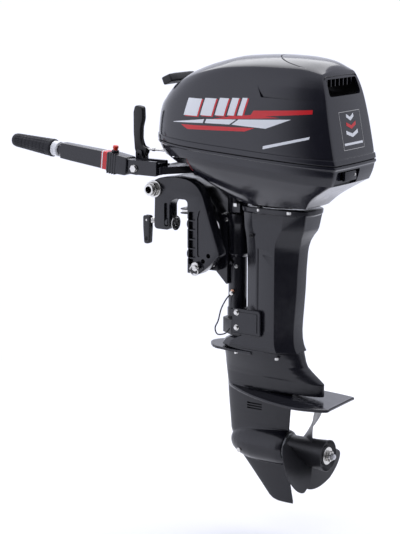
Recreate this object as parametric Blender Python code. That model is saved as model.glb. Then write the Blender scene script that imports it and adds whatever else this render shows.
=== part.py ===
"""Tiller-steered two-cylinder outboard motor, short shaft, as an assembly of separate parts.

Lengths in this script are millimetres until a mesh is finished, which scales it to metres.
+X points aft, +Y to starboard and +Z up. The origin is the top centre of the transom's aft face.
"""

import math

import bmesh
import bpy
from mathutils import Matrix, Vector

MM = 0.001
GAP = 0.3  # clearance between touching pieces
ROUND = 16  # sides of an ordinary round piece
BORE = 12  # sides of a bore or a small pin

# Driving dimensions
TILT_X, TILT_Z = -93.0, 19.0  # tilt tube's centre line
STEER_X = 80.5  # steering axis, vertical, on the centre plane
DRIVE_X = 142.0  # driveshaft and crankshaft axis, vertical
PROP_Z = -583.0  # propeller shaft's height
PLATE_Z = -452.0  # underside of the anti-ventilation plate
SKEG_Z = -721.0
BRACKET_IN, BRACKET_OUT = 62.0, 93.0  # inner and outer faces of a clamp bracket, from the centre
HOOK_X = -50.0  # front of the clamp throat
SCREW_Y, SCREW_Z = 78.0, -60.0  # clamp screws' axes
TILLER_Y = -95.0
TILLER_HINGE = (-133.0, TILLER_Y, 66.0)
TILLER_RISE = math.radians(5.6)  # the tiller rises towards its grip
TILLER_REACH = 392.0  # hinge to the end of the grip
LEVER_PIVOT = (-152.0, -62.0, 94.0)
COWL_SLOPE = -0.059  # the seam between the cowls drops towards the stern
SEAM_Z = 130.0  # the seam's height at X = 0
COWL_WALL = 4.0
COWL_BOW, COWL_STERN = 2.6, 3.3  # roundness of the cowls' plan: 2 is an ellipse
STERN_CUT = 38.0  # the stern's curve would run on this far past the flat back
SHIFT_X = 174.0  # vertical shift shaft, behind the driveshaft
PROP_R = 117.5
PROP_PITCH = 229.0
BORE_R = 28.0  # cylinder bore radius
CYLINDER_Z = (85.0, 160.0)
PIN_HOLE_R = 210.0  # tilt pin holes, from the tilt axis
PIN_ANGLE, PIN_STEP = -54.8, 5.6  # the first pin hole and the spacing to the next, in degrees

COLOURS = {
    "gloss_black": ((0.022, 0.023, 0.028), 0.22, 0.0),
    "satin_black": ((0.020, 0.021, 0.024), 0.42, 0.0),
    "matte_black": ((0.016, 0.016, 0.017), 0.6, 0.0),
    "rubber": ((0.03, 0.032, 0.038), 0.75, 0.0),
    "zinc": ((0.62, 0.63, 0.64), 0.28, 1.0),
    "steel": ((0.52, 0.52, 0.53), 0.3, 1.0),
    "cast_alloy": ((0.42, 0.43, 0.44), 0.5, 1.0),
    "anode": ((0.55, 0.56, 0.57), 0.6, 1.0),
    "red": ((0.75, 0.05, 0.02), 0.4, 0.0),
    "white": ((0.8, 0.81, 0.82), 0.4, 0.0),
    "ceramic": ((0.82, 0.8, 0.76), 0.3, 0.0),
}

empties = {}


def clear_scene():
    for obj in list(bpy.data.objects):
        bpy.data.objects.remove(obj, do_unlink=True)


def material(name):
    mat = bpy.data.materials.get(name)
    if mat is None:
        mat = bpy.data.materials.new(name)
        mat.use_nodes = True
        colour, roughness, metallic = COLOURS[name]
        shader = mat.node_tree.nodes["Principled BSDF"]
        shader.inputs["Base Color"].default_value = (*colour, 1.0)
        shader.inputs["Roughness"].default_value = roughness
        shader.inputs["Metallic"].default_value = metallic
        mat.diffuse_color = (*colour, 1.0)
    return mat


def joint_empty(name, position, parent=None):
    """An empty on a joint's axis. Pieces and further joints are parented to it."""
    empty = bpy.data.objects.new(name, None)
    empty.empty_display_size = 0.03
    bpy.context.scene.collection.objects.link(empty)
    base = empties[parent] if parent else Vector((0, 0, 0))
    if parent:
        empty.parent = bpy.data.objects[parent]
    empties[name] = Vector(position)
    empty.location = (Vector(position) - base) * MM
    return empty


def place(name, bm, look, joint=None):
    """Turns a bmesh in millimetres into a named object, hung on a joint's empty if one is given."""
    bmesh.ops.remove_doubles(bm, verts=bm.verts, dist=0.001)
    bmesh.ops.recalc_face_normals(bm, faces=bm.faces)
    base = empties[joint] if joint else Vector((0, 0, 0))
    bmesh.ops.translate(bm, verts=bm.verts, vec=-base)
    bmesh.ops.scale(bm, verts=bm.verts, vec=(MM, MM, MM))
    mesh = bpy.data.meshes.new(name)
    bm.to_mesh(mesh)
    bm.free()
    mesh.shade_smooth()
    mesh.set_sharp_from_angle(angle=math.radians(35))
    obj = bpy.data.objects.new(name, mesh)
    bpy.context.scene.collection.objects.link(obj)
    if joint:
        obj.parent = bpy.data.objects[joint]
    if look:
        mesh.materials.append(material(look))
    return obj


def tool(obj, name, bm, operation):
    """Cuts or joins a helper shape with obj. The helper shares obj's parent and stays hidden."""
    joint = obj.parent.name if obj.parent else None
    helper = place(f"{obj.name}_{name}", bm, None, joint)
    helper.hide_render = True
    helper.display_type = "WIRE"
    modifier = obj.modifiers.new(name, "BOOLEAN")
    modifier.operation = operation
    modifier.object = helper
    return obj


def cut(obj, name, bm):
    return tool(obj, name, bm, "DIFFERENCE")


def join(obj, name, bm):
    return tool(obj, name, bm, "UNION")


# Shapes, each returned as a bmesh in millimetres


def loft(rings, closed=False):
    """A skin over rings of equally many points, capped at both ends unless the rings close on themselves."""
    bm = bmesh.new()
    loops = [[bm.verts.new(point) for point in ring] for ring in rings]
    pairs = list(zip(loops, loops[1:]))
    if closed:
        pairs.append((loops[-1], loops[0]))
    for lower, upper in pairs:
        for i in range(len(lower)):
            j = (i + 1) % len(lower)
            bm.faces.new((lower[i], lower[j], upper[j], upper[i]))
    if not closed:
        bm.faces.new(loops[0])
        bm.faces.new(loops[-1])
    return bm


def prism(outline, low, high, axis="y"):
    """An outline extruded from low to high. Its two coordinates are the other two axes, in X, Y, Z order."""
    place_point = {
        "x": lambda a, b, t: (t, a, b),
        "y": lambda a, b, t: (a, t, b),
        "z": lambda a, b, t: (a, b, t),
    }[axis]
    return loft([[place_point(a, b, t) for a, b in outline] for t in (low, high)])


def block(low, high, bevel=0.0, steps=1):
    """A box between two corners, with its edges bevelled."""
    bm = bmesh.new()
    size = Vector(high) - Vector(low)
    centre = (Vector(high) + Vector(low)) / 2
    bmesh.ops.create_cube(bm, size=1.0)
    bmesh.ops.scale(bm, verts=bm.verts, vec=size)
    bmesh.ops.translate(bm, verts=bm.verts, vec=centre)
    if bevel:
        bmesh.ops.bevel(
            bm, geom=bm.edges, offset=bevel, segments=steps, affect="EDGES", profile=0.5
        )
    return bm


def turned(profile, centre=(0, 0, 0), axis="z", sides=ROUND):
    """A lathed solid. The profile is a list of (radius, height) points, closed from its last to its first."""
    bm = bmesh.new()
    half_step = math.pi / sides
    c, s = math.cos(half_step), math.sin(half_step)
    verts = [bm.verts.new((radius * c, radius * s, height)) for radius, height in profile]
    edges = []
    for a, b in zip(verts, verts[1:] + verts[:1]):
        if max(a.co.length_squared - a.co.z**2, b.co.length_squared - b.co.z**2) > 0.01:
            edges.append(bm.edges.new((a, b)))
    bmesh.ops.spin(
        bm,
        geom=verts + edges,
        axis=(0, 0, 1),
        cent=(0, 0, 0),
        angle=math.tau,
        steps=sides,
        use_merge=True,
    )
    bmesh.ops.remove_doubles(bm, verts=bm.verts, dist=0.001)
    turn = {
        "x": Matrix.Rotation(math.pi / 2, 4, "Y"),
        "y": Matrix.Rotation(-math.pi / 2, 4, "X"),
        "z": Matrix.Identity(4),
    }[axis]
    bmesh.ops.transform(bm, matrix=Matrix.Translation(centre) @ turn, verts=bm.verts)
    return bm


def rod(radius, low, high, centre=(0, 0, 0), axis="z", chamfer=0.0, sides=ROUND):
    """A round bar from low to high along an axis, measured from centre."""
    profile = [(0, high), (radius - chamfer, high), (radius, high - chamfer)]
    profile += [(radius, low + chamfer), (radius - chamfer, low), (0, low)]
    if not chamfer:
        profile = [(0, high), (radius, high), (radius, low), (0, low)]
    return turned(profile, centre, axis, sides)


def tube(outer, inner, low, high, centre=(0, 0, 0), axis="z", sides=ROUND):
    profile = [(inner, high), (outer, high), (outer, low), (inner, low)]
    return turned(profile, centre, axis, sides)


def arc(centre, radius, start, end, steps):
    """Points on an arc, angles in degrees, both ends included."""
    points = []
    for i in range(steps + 1):
        angle = math.radians(start + (end - start) * i / steps)
        points.append(
            (centre[0] + radius * math.cos(angle), centre[1] + radius * math.sin(angle))
        )
    return points


def plan_ring(z, front, rear, half, bow=2.4, stern=4.0, widest=0.5, slope=0.0, count=24):
    """A horizontal section: a superellipse, rounder at the bow than at the stern where bow is lower."""
    middle = front + (rear - front) * widest
    ring = []
    for i in range(count):
        angle = math.tau * i / count
        c, s = math.cos(angle), math.sin(angle)
        power = stern if c > 0 else bow
        reach = rear - middle if c > 0 else middle - front
        x = middle + math.copysign(reach * abs(c) ** (2 / power), c)
        y = math.copysign(half * abs(s) ** (2 / power), s)
        ring.append((x, y, z + slope * x))
    return ring


def cowl_ring(z, front, rear, half, slope=0.0, count=32):
    """A section of a cowl: its curve is cut off square at the back."""
    ring = plan_ring(z, front, rear + STERN_CUT, half, COWL_BOW, COWL_STERN, 0.42, slope, count)
    return [(min(x, rear), y, z + slope * min(x, rear)) for x, y, _ in ring]


def bent_tube(points, radius, sides=8):
    """A round tube through the given points, mitred at each of them."""
    path = [Vector(point) for point in points]
    rings = []
    side = Vector((0, 0, 1))
    for i, point in enumerate(path):
        ahead = path[min(i + 1, len(path) - 1)] - path[max(i - 1, 0)]
        ahead.normalize()
        side = (side - ahead * side.dot(ahead)).normalized()
        other = ahead.cross(side)
        ring = []
        for j in range(sides):
            angle = math.tau * j / sides
            ring.append(point + side * radius * math.cos(angle) + other * radius * math.sin(angle))
        rings.append(ring)
    return loft(rings)


def smooth_path(points, per_span):
    """A Catmull-Rom curve through the points."""
    path = [Vector(point) for point in points]
    path = [path[0] * 2 - path[1]] + path + [path[-1] * 2 - path[-2]]
    out = []
    for a, b, c, d in zip(path, path[1:], path[2:], path[3:]):
        for i in range(per_span):
            t = i / per_span
            square = 2 * a - 5 * b + 4 * c - d
            cube = 3 * b - a - 3 * c + d
            out.append(0.5 * (2 * b + (c - a) * t + square * t**2 + cube * t**3))
    return out + [path[-2]]


def moved(bm, matrix):
    bmesh.ops.transform(bm, matrix=matrix, verts=bm.verts)
    return bm


# Transom clamp: two brackets on the tilt tube, a screw and pad in each


def clamp_bracket(side):
    """side is -1 to port and +1 to starboard."""
    name = "clamp_bracket_port" if side < 0 else "clamp_bracket_starboard"
    low, high = sorted((side * BRACKET_IN, side * BRACKET_OUT))
    tilt = (TILT_X, TILT_Z)
    outline = arc(tilt, 18, 270, 120, 6)
    outline += [(-76, 47), (-20, 50)]
    outline += arc((-8, -4), 52, 78, 18, 4)
    outline += [(88, -118), (74, -133)]
    outline += arc(tilt, PIN_HOLE_R + 18, -46, -56.5, 3)
    # The leg's front is scalloped: flats with shallow hollows between them.
    outline += [(0, -172), (0, -136), (7, -124), (0, -112), (0, -66), (7, -54), (0, -42), (0, -30)]
    outline += arc((-5, -11), 11, -15, 90, 4)
    outline += [(HOOK_X + 8, 0), (HOOK_X, -8), (HOOK_X, -70), (-58, -76), (-88, -76), (-95, -70)]
    obj = place(name, prism(outline, low, high), "gloss_black")
    # The inner half of the leg is hollow, which leaves an outer plate with a rim.
    pocket = [(40, -20), (66, -104), (40, -128), (16, -140), (16, -30)]
    inner, outer = side * (BRACKET_IN - 2), side * (BRACKET_OUT - 9)
    cut(obj, "pocket", prism(pocket, *sorted((inner, outer))))
    cut(obj, "tilt_bore", rod(13.4, -110, 110, (TILT_X, 0, TILT_Z), "y", sides=BORE))
    cut(obj, "screw_bore", rod(7.5, -40, 60, (-70, side * SCREW_Y, SCREW_Z), "x", sides=BORE))
    for i in range(3):
        angle = math.radians(PIN_ANGLE + PIN_STEP * i)
        x = TILT_X + PIN_HOLE_R * math.cos(angle)
        z = TILT_Z + PIN_HOLE_R * math.sin(angle)
        cut(obj, f"pin_hole_{i + 1}", rod(5.6, -110, 110, (x, 0, z), "y", sides=12))
    return obj


def tilt_hardware():
    centre = (TILT_X, 0, TILT_Z)
    place("tilt_tube", tube(12.9, 8.5, -118, 118, centre, "y", BORE), "zinc")
    for word, side in (("port", -1), ("starboard", 1)):
        start, end = sorted((side * (BRACKET_OUT + GAP), side * 110))
        nut = turned([(15.2, end), (18, end), (18, start), (15.2, start)], centre, "y", 6)
        obj = place(f"tilt_nut_{word}", nut, "zinc")
        washer_start, washer_end = sorted((side * (BRACKET_OUT + GAP), side * 97))
        join(obj, "flange", tube(20.5, 13.4, washer_start, washer_end, centre, "y", BORE))


def tilt_pin():
    angle = math.radians(PIN_ANGLE)
    x = TILT_X + PIN_HOLE_R * math.cos(angle)
    z = TILT_Z + PIN_HOLE_R * math.sin(angle)
    joint_empty("tilt_pin_axis", (x, 0, z))
    obj = place("tilt_pin", rod(5.0, -108, 104, (x, 0, z), "y", 0.0, 12), "zinc", "tilt_pin_axis")
    join(obj, "head", rod(11, -104, -98, (x, 0, z), "y", 0.0, BORE))
    loop = [(x + a, -112 - b * 0.2, z + b) for a, b in arc((0, 0), 11, -160, 150, 7)]
    join(obj, "pull_loop", moved(bent_tube(loop, 2.2, 6), Matrix.Translation((0, 6.5, -9))))


def clamp_screw(side):
    word = "port" if side < 0 else "starboard"
    y = side * SCREW_Y
    # At rest the port handle hangs and the starboard one points outboard.
    pose = Matrix.Translation((0, y, SCREW_Z))
    if side > 0:
        pose = pose @ Matrix.Rotation(math.pi / 2, 4, "X")
    root = f"clamp_screw_axis_{word}"
    joint_empty(root, (-124, y, SCREW_Z))
    shaft = place(f"clamp_screw_{word}", rod(6.9, -109, -54, (0, y, SCREW_Z), "x", 0.0, BORE), "zinc", root)
    join(shaft, "neck", rod(4.4, -56, -46.5, (0, y, SCREW_Z), "x", 0.0, 12))
    join(shaft, "eye", moved(block((-132, -3.4, -6), (-106, 3.4, 6)), pose))
    profile = [(5.0, -49.5), (9.5, -49.5), (9.5, -46), (17.5, -44)]
    profile += [(17.5, -41.5), (0, -41.5), (0, -46), (5.0, -46)]
    pad = turned(profile, (0, y, SCREW_Z), "x", BORE)
    pad_root = f"clamp_pad_axis_{word}"
    joint_empty(pad_root, (-45, y, SCREW_Z))
    place(f"clamp_pad_{word}", pad, "zinc", pad_root)
    hinge = f"clamp_handle_axis_{word}"
    joint_empty(hinge, (-124, y, SCREW_Z), root)
    # The paddle is a fork over the screw's eye that narrows to a flat bar.
    paddle = [(-135, 8), (-131, 11), (-117, 11), (-113, 8)]
    paddle += [(-116, -50), (-119, -56), (-129, -56), (-132, -50)]
    handle = place(f"clamp_handle_{word}", moved(prism(paddle, -7, 7), pose), "satin_black", hinge)
    cut(handle, "fork_slot", moved(block((-142, -3.8, -17), (-106, 3.8, 20)), pose))
    cut(handle, "hole", moved(rod(3.2, -20, 20, (-124, 0, -46), "y", sides=12), pose))


# Swivel bracket: hangs on the tilt tube and carries the steering shaft


def swivel_bracket():
    joint_empty("tilt_axis", (TILT_X, 0, TILT_Z))
    web = [(TILT_X, 41), (-40, 38), (10, 22), (42, -12), (52, -37), (70, -37), (70, -205), (36, -172)]
    web += [(36, -138), (52, -118), (46, -62), (12, -12), (-18, 5), (-76, 5)]
    obj = place("swivel_bracket", prism(web, -30, 30), "gloss_black", "tilt_axis")
    join(obj, "sleeve", rod(21, -57, 57, (TILT_X, 0, TILT_Z), "y"))
    barrel = [(0, -34), (28, -34), (28, -128), (24.5, -134), (24.5, -282), (0, -282)]
    join(obj, "tube", turned(barrel, (STEER_X, 0, 0)))
    foot = [(33.4, -168), (33.4, -142), (58, -142), (58, -168)]
    join(obj, "thrust_foot", prism(foot, -52, 52))
    cut(obj, "tilt_bore", rod(13.4, -80, 80, (TILT_X, 0, TILT_Z), "y", sides=BORE))
    cut(obj, "steering_bore", rod(17.6, -300, -10, (STEER_X, 0, 0)))
    return obj


# Parts that steer with the motor


def steering_parts():
    joint_empty("steering_axis", (STEER_X, 0, 0), "tilt_axis")
    shaft = tube(17.0, 12.0, -312, -10, (STEER_X, 0, 0))
    place("steering_shaft", shaft, "zinc", "steering_axis")
    hub = rod(24, -33.5, 12, (STEER_X, 0, 0))
    bracket = place("steering_bracket", hub, "gloss_black", "steering_axis")
    neck = [(96, -26), (96, 12), (40, 40), (-4, 74), (-84, 74)]
    neck += [(-84, 56), (-6, 56), (30, 26), (64, 2), (64, -26)]
    join(bracket, "neck", prism(neck, -20, 20))
    arm = [(-84, -111), (-62, -111), (-8, -34), (-8, 24), (-84, 24)]
    join(bracket, "cross_arm", prism(arm, 56.5, 73.5, "z"))
    x, y, z = TILLER_HINGE
    for word, low, high in (("port", y - 24, y - 15.5), ("starboard", y + 15.5, y + 24)):
        join(bracket, f"ear_{word}", block((x - 15, low, z - 14), (-70, high, z + 20)))
    join(bracket, "web", block((-104, y - 20, z - 13), (-72, y + 20, z + 14)))
    join(bracket, "lever_post", block((LEVER_PIVOT[0] - 12, -69, 57.5), (-76, -55, 76)))
    for word, low, high in (("port", -75.6, -70), ("starboard", -54, -48.4)):
        post = block((LEVER_PIVOT[0] - 9, low, 58), (LEVER_PIVOT[0] + 9, high, LEVER_PIVOT[2] + 11))
        join(bracket, f"lever_cheek_{word}", post)
    join(bracket, "cheek_foot", block((LEVER_PIVOT[0] - 8, -75.6, 58), (LEVER_PIVOT[0] + 8, -47, 70)))
    join(bracket, "upper_mount", block((90, -40, -26), (111, 40, -6), 4.0))
    cut(bracket, "shaft_bore", rod(17.2, -60, 0, (STEER_X, 0, 0)))
    cut(bracket, "hinge_bore", rod(5.3, -40, 40, (x, y, z), "y", sides=16))
    join(bracket, "lever_pin", rod(3.3, -13.6, 13.6, LEVER_PIVOT, "y", sides=12))
    yoke = [(56, -26), (70, -34), (92, -46), (117, -46), (117, 46), (92, 46), (70, 34), (56, 26)]
    lower = place("lower_mount_bracket", prism(yoke, -318, -283, "z"), "satin_black", "steering_axis")
    cut(lower, "shaft_bore", rod(17.2, -330, -270, (STEER_X, 0, 0)))
    for word, side in (("port", -1), ("starboard", 1)):
        start, end = sorted((side * 47.6, side * 55))
        cover = block((101, start, -312), (178, end, -250), 3.0)
        obj = place(f"lower_mount_cover_{word}", cover, "satin_black", "steering_axis")
        for i, height in enumerate((-296, -260)):
            head = rod(5.5, *sorted((side * 54, side * 59)), (112, 0, height), "y", 0.0, 6)
            join(obj, f"bolt_{i + 1}", head)


def leg():
    """Driveshaft housing: an apron under the cowl, a neck, the leg and a foot that reaches forward."""
    sections = [
        (-19.5, 112, 286, 50),
        (-58, 114, 279, 49),
        (-84, 118, 268, 48),
        (-112, 121, 260, 47),
        (-200, 123, 255, 46),
        (-280, 119, 249, 46),
    ]
    rings = [plan_ring(z, a, b, half, 4.5, 2.6, 0.5) for z, a, b, half in sections]
    foot = [(-322, 119, 250), (-328, 66, 252), (-340, 56, 256), (-346, 52, 260)]
    rings += [plan_ring(z, a, b, 46, 3.4, 2.6, 0.5) for z, a, b in foot]
    obj = place("driveshaft_housing", loft(rings), "gloss_black", "steering_axis")
    apron = loft([plan_ring(z, 113.5, 306, 62, 5, 3, 0.5) for z in (-24, -8)])
    join(obj, "apron", apron)
    for word, side in (("port", -1), ("starboard", 1)):
        start, end = sorted((side * 41, side * 60))
        recess = block((206, start, -318), (240, end, -112), 3.0)
        cut(obj, f"side_recess_{word}", recess)
    inside = [(-360, 84, 240, 34), (-330, 96, 240, 34), (-312, 130, 240, 36), (-90, 130, 240, 36)]
    inside += [(0, 130, 250, 38)]
    cavity = loft([plan_ring(z, a, b, half, 4.5, 2.6) for z, a, b, half in inside])
    cut(obj, "cavity", cavity)
    return obj


def gearcase():
    """Lower unit: flange, upper body that sweeps aft to the plate, strut, torpedo and skeg."""
    sections = [
        (-446, 56, 319, 30, 0.42),
        (-414, 53, 319, 30, 0.42),
        (-400, 52, 300, 32, 0.44),
        (-380, 51, 276, 37, 0.48),
        (-360, 50, 266, 43, 0.5),
        (-346.5, 50, 262, 47, 0.5),
    ]
    rings = [plan_ring(z, a, b, half, 2.2, 2.4, wide) for z, a, b, half, wide in sections]
    obj = place("gearcase", loft(rings), "gloss_black", "steering_axis")
    plate = [(57, 0), (92, -30), (160, -60), (230, -76), (290, -79), (360, -66), (366, -58)]
    plate += [(x, -y) for x, y in reversed(plate[1:])]
    low = [(x, y, PLATE_Z - 9 * (abs(y) / 79) ** 1.5) for x, y in plate]
    high = [(x, y, z + 8) for x, y, z in low]
    join(obj, "plate", loft([low, high]))
    splash = [(10, 0), (22, -26), (48, -46), (90, -52), (150, -50)]
    splash += [(x, -y) for x, y in reversed(splash[1:])]
    join(obj, "splash_plate", prism(splash, -357, -351, "z"))
    strut = [(PLATE_Z + 4, 56, 234, 22), (-500, 60, 230, 20), (-560, 66, 226, 22), (PROP_Z, 76, 222, 26)]
    blade = loft([plan_ring(z, a, b, half, 2.0, 2.0, 0.45) for z, a, b, half in strut])
    join(obj, "strut", blade)
    profile = [(0, 68), (14, 72), (25, 82), (34, 98), (41, 122), (44, 155), (44, 212), (40, 227), (0, 227)]
    join(obj, "torpedo", turned(profile, (0, 0, PROP_Z), "x", 24))
    skeg = [(PROP_Z - 30, 96, 222, 9), (-660, 131, 230, 6), (-712, 176, 240, 3.5), (SKEG_Z, 190, 241, 2)]
    join(obj, "skeg", loft([plan_ring(z, a, b, half, 2.0, 2.0, 0.45) for z, a, b, half in skeg]))
    for word, low, high in (("port", -40, -15), ("starboard", 15, 40)):
        cut(obj, f"water_inlet_{word}", block((120, low, -497), (164, high, -480)))
    chamber = turned([(0, 240), (35, 240), (35, 212), (31, 212), (31, 104), (0, 104)], (0, 0, PROP_Z), "x")
    cut(obj, "gear_chamber", chamber)
    cut(obj, "shaft_bore", rod(9, PROP_Z, -330, (DRIVE_X, 0, 0)))
    well = loft([plan_ring(z, 84, 238, half, 3, 3) for z, half in ((-424, 22), (-386, 29), (-330, 38.5))])
    cut(obj, "pump_well", well)
    cut(obj, "shift_bore", rod(4.8, PROP_Z, -330, (SHIFT_X, 0, 0), sides=12))
    return obj


def lower_unit_parts():
    anode = block((262, -14, PLATE_Z - 13), (318, 14, PLATE_Z - 9.6), 1.0)
    place("trim_anode", anode, "anode", "steering_axis")
    pump = turned(
        [(20.5, -420.5), (20.5, -392), (17, -386), (8, -382), (8, -420.5)],
        (DRIVE_X, 0, 0),
    )
    case = place("water_pump_housing", pump, "cast_alloy", "steering_axis")
    cut(case, "impeller_room", rod(17.4, -430, -396, (DRIVE_X, 0, 0)))
    carrier = [(10, 231), (34.5, 231), (34.5, 213), (30.5, 213), (30.5, 196), (10, 196)]
    place("bearing_carrier", turned(carrier, (0, 0, PROP_Z), "x"), "cast_alloy", "steering_axis")


def bottom_cowl():
    rings = [
        cowl_ring(0, 88, 306, 64),
        cowl_ring(28, 46, 344, 86),
        cowl_ring(56, -4, 370, 107),
        cowl_ring(80, -58, 384, 121),
        cowl_ring(97, -108, 390, 127, -0.03),
        cowl_ring(SEAM_Z, -116, 395, 131, COWL_SLOPE),
    ]
    obj = place("bottom_cowl", loft(rings), "gloss_black", "steering_axis")
    inside = [
        plan_ring(6, 119, 300, 54, 8, 3.2, 0.4),
        plan_ring(24, 119, 326, 72, 8, 3.2, 0.4),
        plan_ring(26, 88, 328, 74, 8, 3.2, 0.4),
        plan_ring(58, 88, 360, 98, 6, 3.2, 0.4),
        plan_ring(84, 88, 375, 113, 5, 3.2, 0.4),
        plan_ring(SEAM_Z + 30, 88, 385, 122, 5, 3.4, 0.4),
    ]
    cut(obj, "rear_room", loft(inside))
    front = [
        plan_ring(90, -82, 200, 106, 2.6, 4.0, 0.66),
        plan_ring(SEAM_Z + 30, -104, 200, 122, 2.6, 4.0, 0.66),
    ]
    cut(obj, "front_room", loft(front))
    tunnel = [(-140, -20), (113.5, -20), (113.5, 21), (89, 21), (42, 46), (2, 80), (-140, 80)]
    cut(obj, "steering_tunnel", prism(tunnel, -46, 46))
    for word, side in (("port", -1), ("starboard", 1)):
        notch = [(-140, side * 44), (-4, side * 44), (16, side * 72), (16, side * 140), (-140, side * 140)]
        cut(obj, f"front_notch_{word}", prism(notch, -10, 80, "z"))
        recess = [(-140, side * 62), (4, side * 62), (15, side * 72), (15, side * 141), (-140, side * 141)]
        cut(obj, f"front_recess_{word}", prism(recess, 70, 100, "z"))
    cut(obj, "drive_hole", rod(20, -20, 20, (DRIVE_X, 0, 0)))
    cut(obj, "exhaust_hole", rod(19, -20, 20, (196, 0, 0)))
    cut(obj, "choke_hole", rod(5, -140, -60, (0, 26, 106), "x", sides=BORE))
    cut(obj, "shift_hole", rod(5, -140, -60, (0, LEVER_PIVOT[1], LEVER_PIVOT[2] + 12), "x", sides=BORE))
    cut(obj, "latch_pocket", block((374, -76, 62), (420, 20, 93)))
    return obj


def top_cowl():
    joint_empty("cowl_seat", (137, 0, 125), "steering_axis")
    outer = [
        (SEAM_Z + 0.4, -116, 395, 131, 1.0),
        (SEAM_Z + 12, -114, 393, 130, 1.0),
        (212, -106, 371, 125, 0.5),
        (256, -82, 360, 117, 0.3),
        (288, -36, 350, 106, 0.2),
        (314, 36, 336, 88, 0.1),
        (329, 92, 304, 62, 0.0),
        (335, 138, 262, 28, 0.0),
    ]
    rings = []
    for z, front, rear, half, tilt in outer:
        rings.append(cowl_ring(z, front, rear, half, COWL_SLOPE * tilt))
    obj = place("top_cowl", loft(rings), "gloss_black", "cowl_seat")
    wall = COWL_WALL
    inner = [cowl_ring(90, -112, 391, 127)]
    for z, front, rear, half, tilt in outer[1:-1]:
        inner.append(cowl_ring(z - wall, front + wall, rear - wall, half - wall, COWL_SLOPE * tilt))
    cut(obj, "inside", loft(inner))
    cut(obj, "air_intake", block((335, -68, 255), (420, 68, 292)))
    cut(obj, "handle_slot", block((-90, -14, 254), (-20, 14, 276)))
    return obj


def cowl_latch():
    joint_empty("latch_axis", (380, 0, 87), "steering_axis")
    obj = place("cowl_latch", block((376, -38, 68), (386, 14, 89.4), 1.5), "gloss_black", "latch_axis")
    join(obj, "pivot", rod(2.2, -40, 16, (380, 0, 87), "y", sides=12))


def starter():
    joint_empty("starter_pull", (-70, 0, 265), "cowl_seat")
    grip = [(-14, -52), (14, -52), (17, -46), (17, 46), (14, 52), (-14, 52), (-17, 46), (-17, -46)]
    lean = Matrix.Translation((-87, 0, 272)) @ Matrix.Rotation(math.radians(-24), 4, "Y")
    place("starter_handle", moved(prism(grip, -9, 9, "z"), lean), "matte_black", "starter_pull")
    rope = bent_tube([(-69, 0, 265), (-40, 0, 263), (-6, 0, 262)], 2.4, 8)
    place("starter_rope", rope, "white", "starter_pull")


# Powerhead


def powerhead():
    guide = loft([plan_ring(z, 120.5, 298, 50, 8, 3.6, 0.4) for z in (6.4, 27.6)])
    obj = place("exhaust_guide", guide, "cast_alloy", "steering_axis")
    cut(obj, "drive_hole", rod(18, -5, 30, (DRIVE_X, 0, 0)))
    cut(obj, "exhaust_hole", rod(15, -5, 30, (196, 0, 0)))
    body = block((94, -52, 28), (262, 52, 204), 8.0)
    obj = place("cylinder_block", body, "cast_alloy", "steering_axis")
    join(obj, "cylinder_bank", block((230, -46, 40), (286, 46, 200), 5.0))
    room = [(0, 230), (16, 230), (16, 196), (40, 196), (40, 52), (16, 52), (16, 0), (0, 0)]
    cut(obj, "crank_room", turned(room, (DRIVE_X, 0, 0)))
    cut(obj, "inlet_port", block((60, -24, 70), (DRIVE_X - 20, 24, 170)))
    for i, height in enumerate(CYLINDER_Z):
        cut(obj, f"bore_{i + 1}", rod(BORE_R, 170, 300, (0, 0, height), "x"))
        piston_root = f"piston_axis_{i + 1}"
        joint_empty(piston_root, (230, 0, height), "steering_axis")
        skirt = [(0, 252), (26, 252), (27.6, 250), (27.6, 204), (22, 204), (22, 244), (0, 244)]
        place(f"piston_{i + 1}", turned(skirt, (0, 0, height), "x"), "cast_alloy", piston_root)
    head = place("cylinder_head", block((286.4, -48, 42), (312, 48, 198), 5.0), "cast_alloy", "steering_axis")
    for i, height in enumerate(CYLINDER_Z):
        cut(head, f"plug_hole_{i + 1}", rod(7.2, 280, 320, (0, 0, height), "x", sides=16))
        profile = [(0, 352), (4, 352), (5.5, 340), (5.5, 328), (10, 328)]
        profile += [(10, 312.4), (7, 312.4), (7, 290), (0, 290)]
        plug = turned(profile, (0, 0, height), "x", 16)
        word = ("lower", "upper")[i]
        place(f"spark_plug_{word}", plug, "ceramic", "steering_axis")
    carb = place("carburettor", block((46, -26, 100), (93.6, 26, 150), 5.0), "cast_alloy", "steering_axis")
    join(carb, "float_bowl", rod(20, 91, 102, (68, 0, 0)))
    cut(carb, "throat", rod(15, 20, 120, (0, 0, 120), "x"))
    place("intake_silencer", block((-34, -64, 98), (45.6, 58, 176), 10.0, 2), "matte_black", "steering_axis")
    profile = [(0, 304), (70, 302), (88, 286), (90, 262), (98, 262)]
    profile += [(98, 258), (86, 258), (84, 282), (68, 297), (0, 299)]
    housing = turned(profile, (DRIVE_X, 0, 0), sides=24)
    recoil = place("recoil_housing", housing, "satin_black", "steering_axis")
    for i in range(3):
        angle = math.radians(90 + 120 * i)
        x, y = DRIVE_X + 92.5 * math.cos(angle), 92.5 * math.sin(angle)
        join(recoil, f"lug_{i + 1}", rod(6, 204.6, 262, (x, y, 0), sides=12))
    knob_root = "choke_axis"
    joint_empty(knob_root, (-118, 26, 106), "steering_axis")
    profile = [(0, -86), (4, -86), (4, -122), (11, -124), (11, -130), (9, -134), (0, -134)]
    knob = turned(profile, (0, 26, 106), "x", 16)
    place("choke_knob", knob, "matte_black", knob_root)


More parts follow.
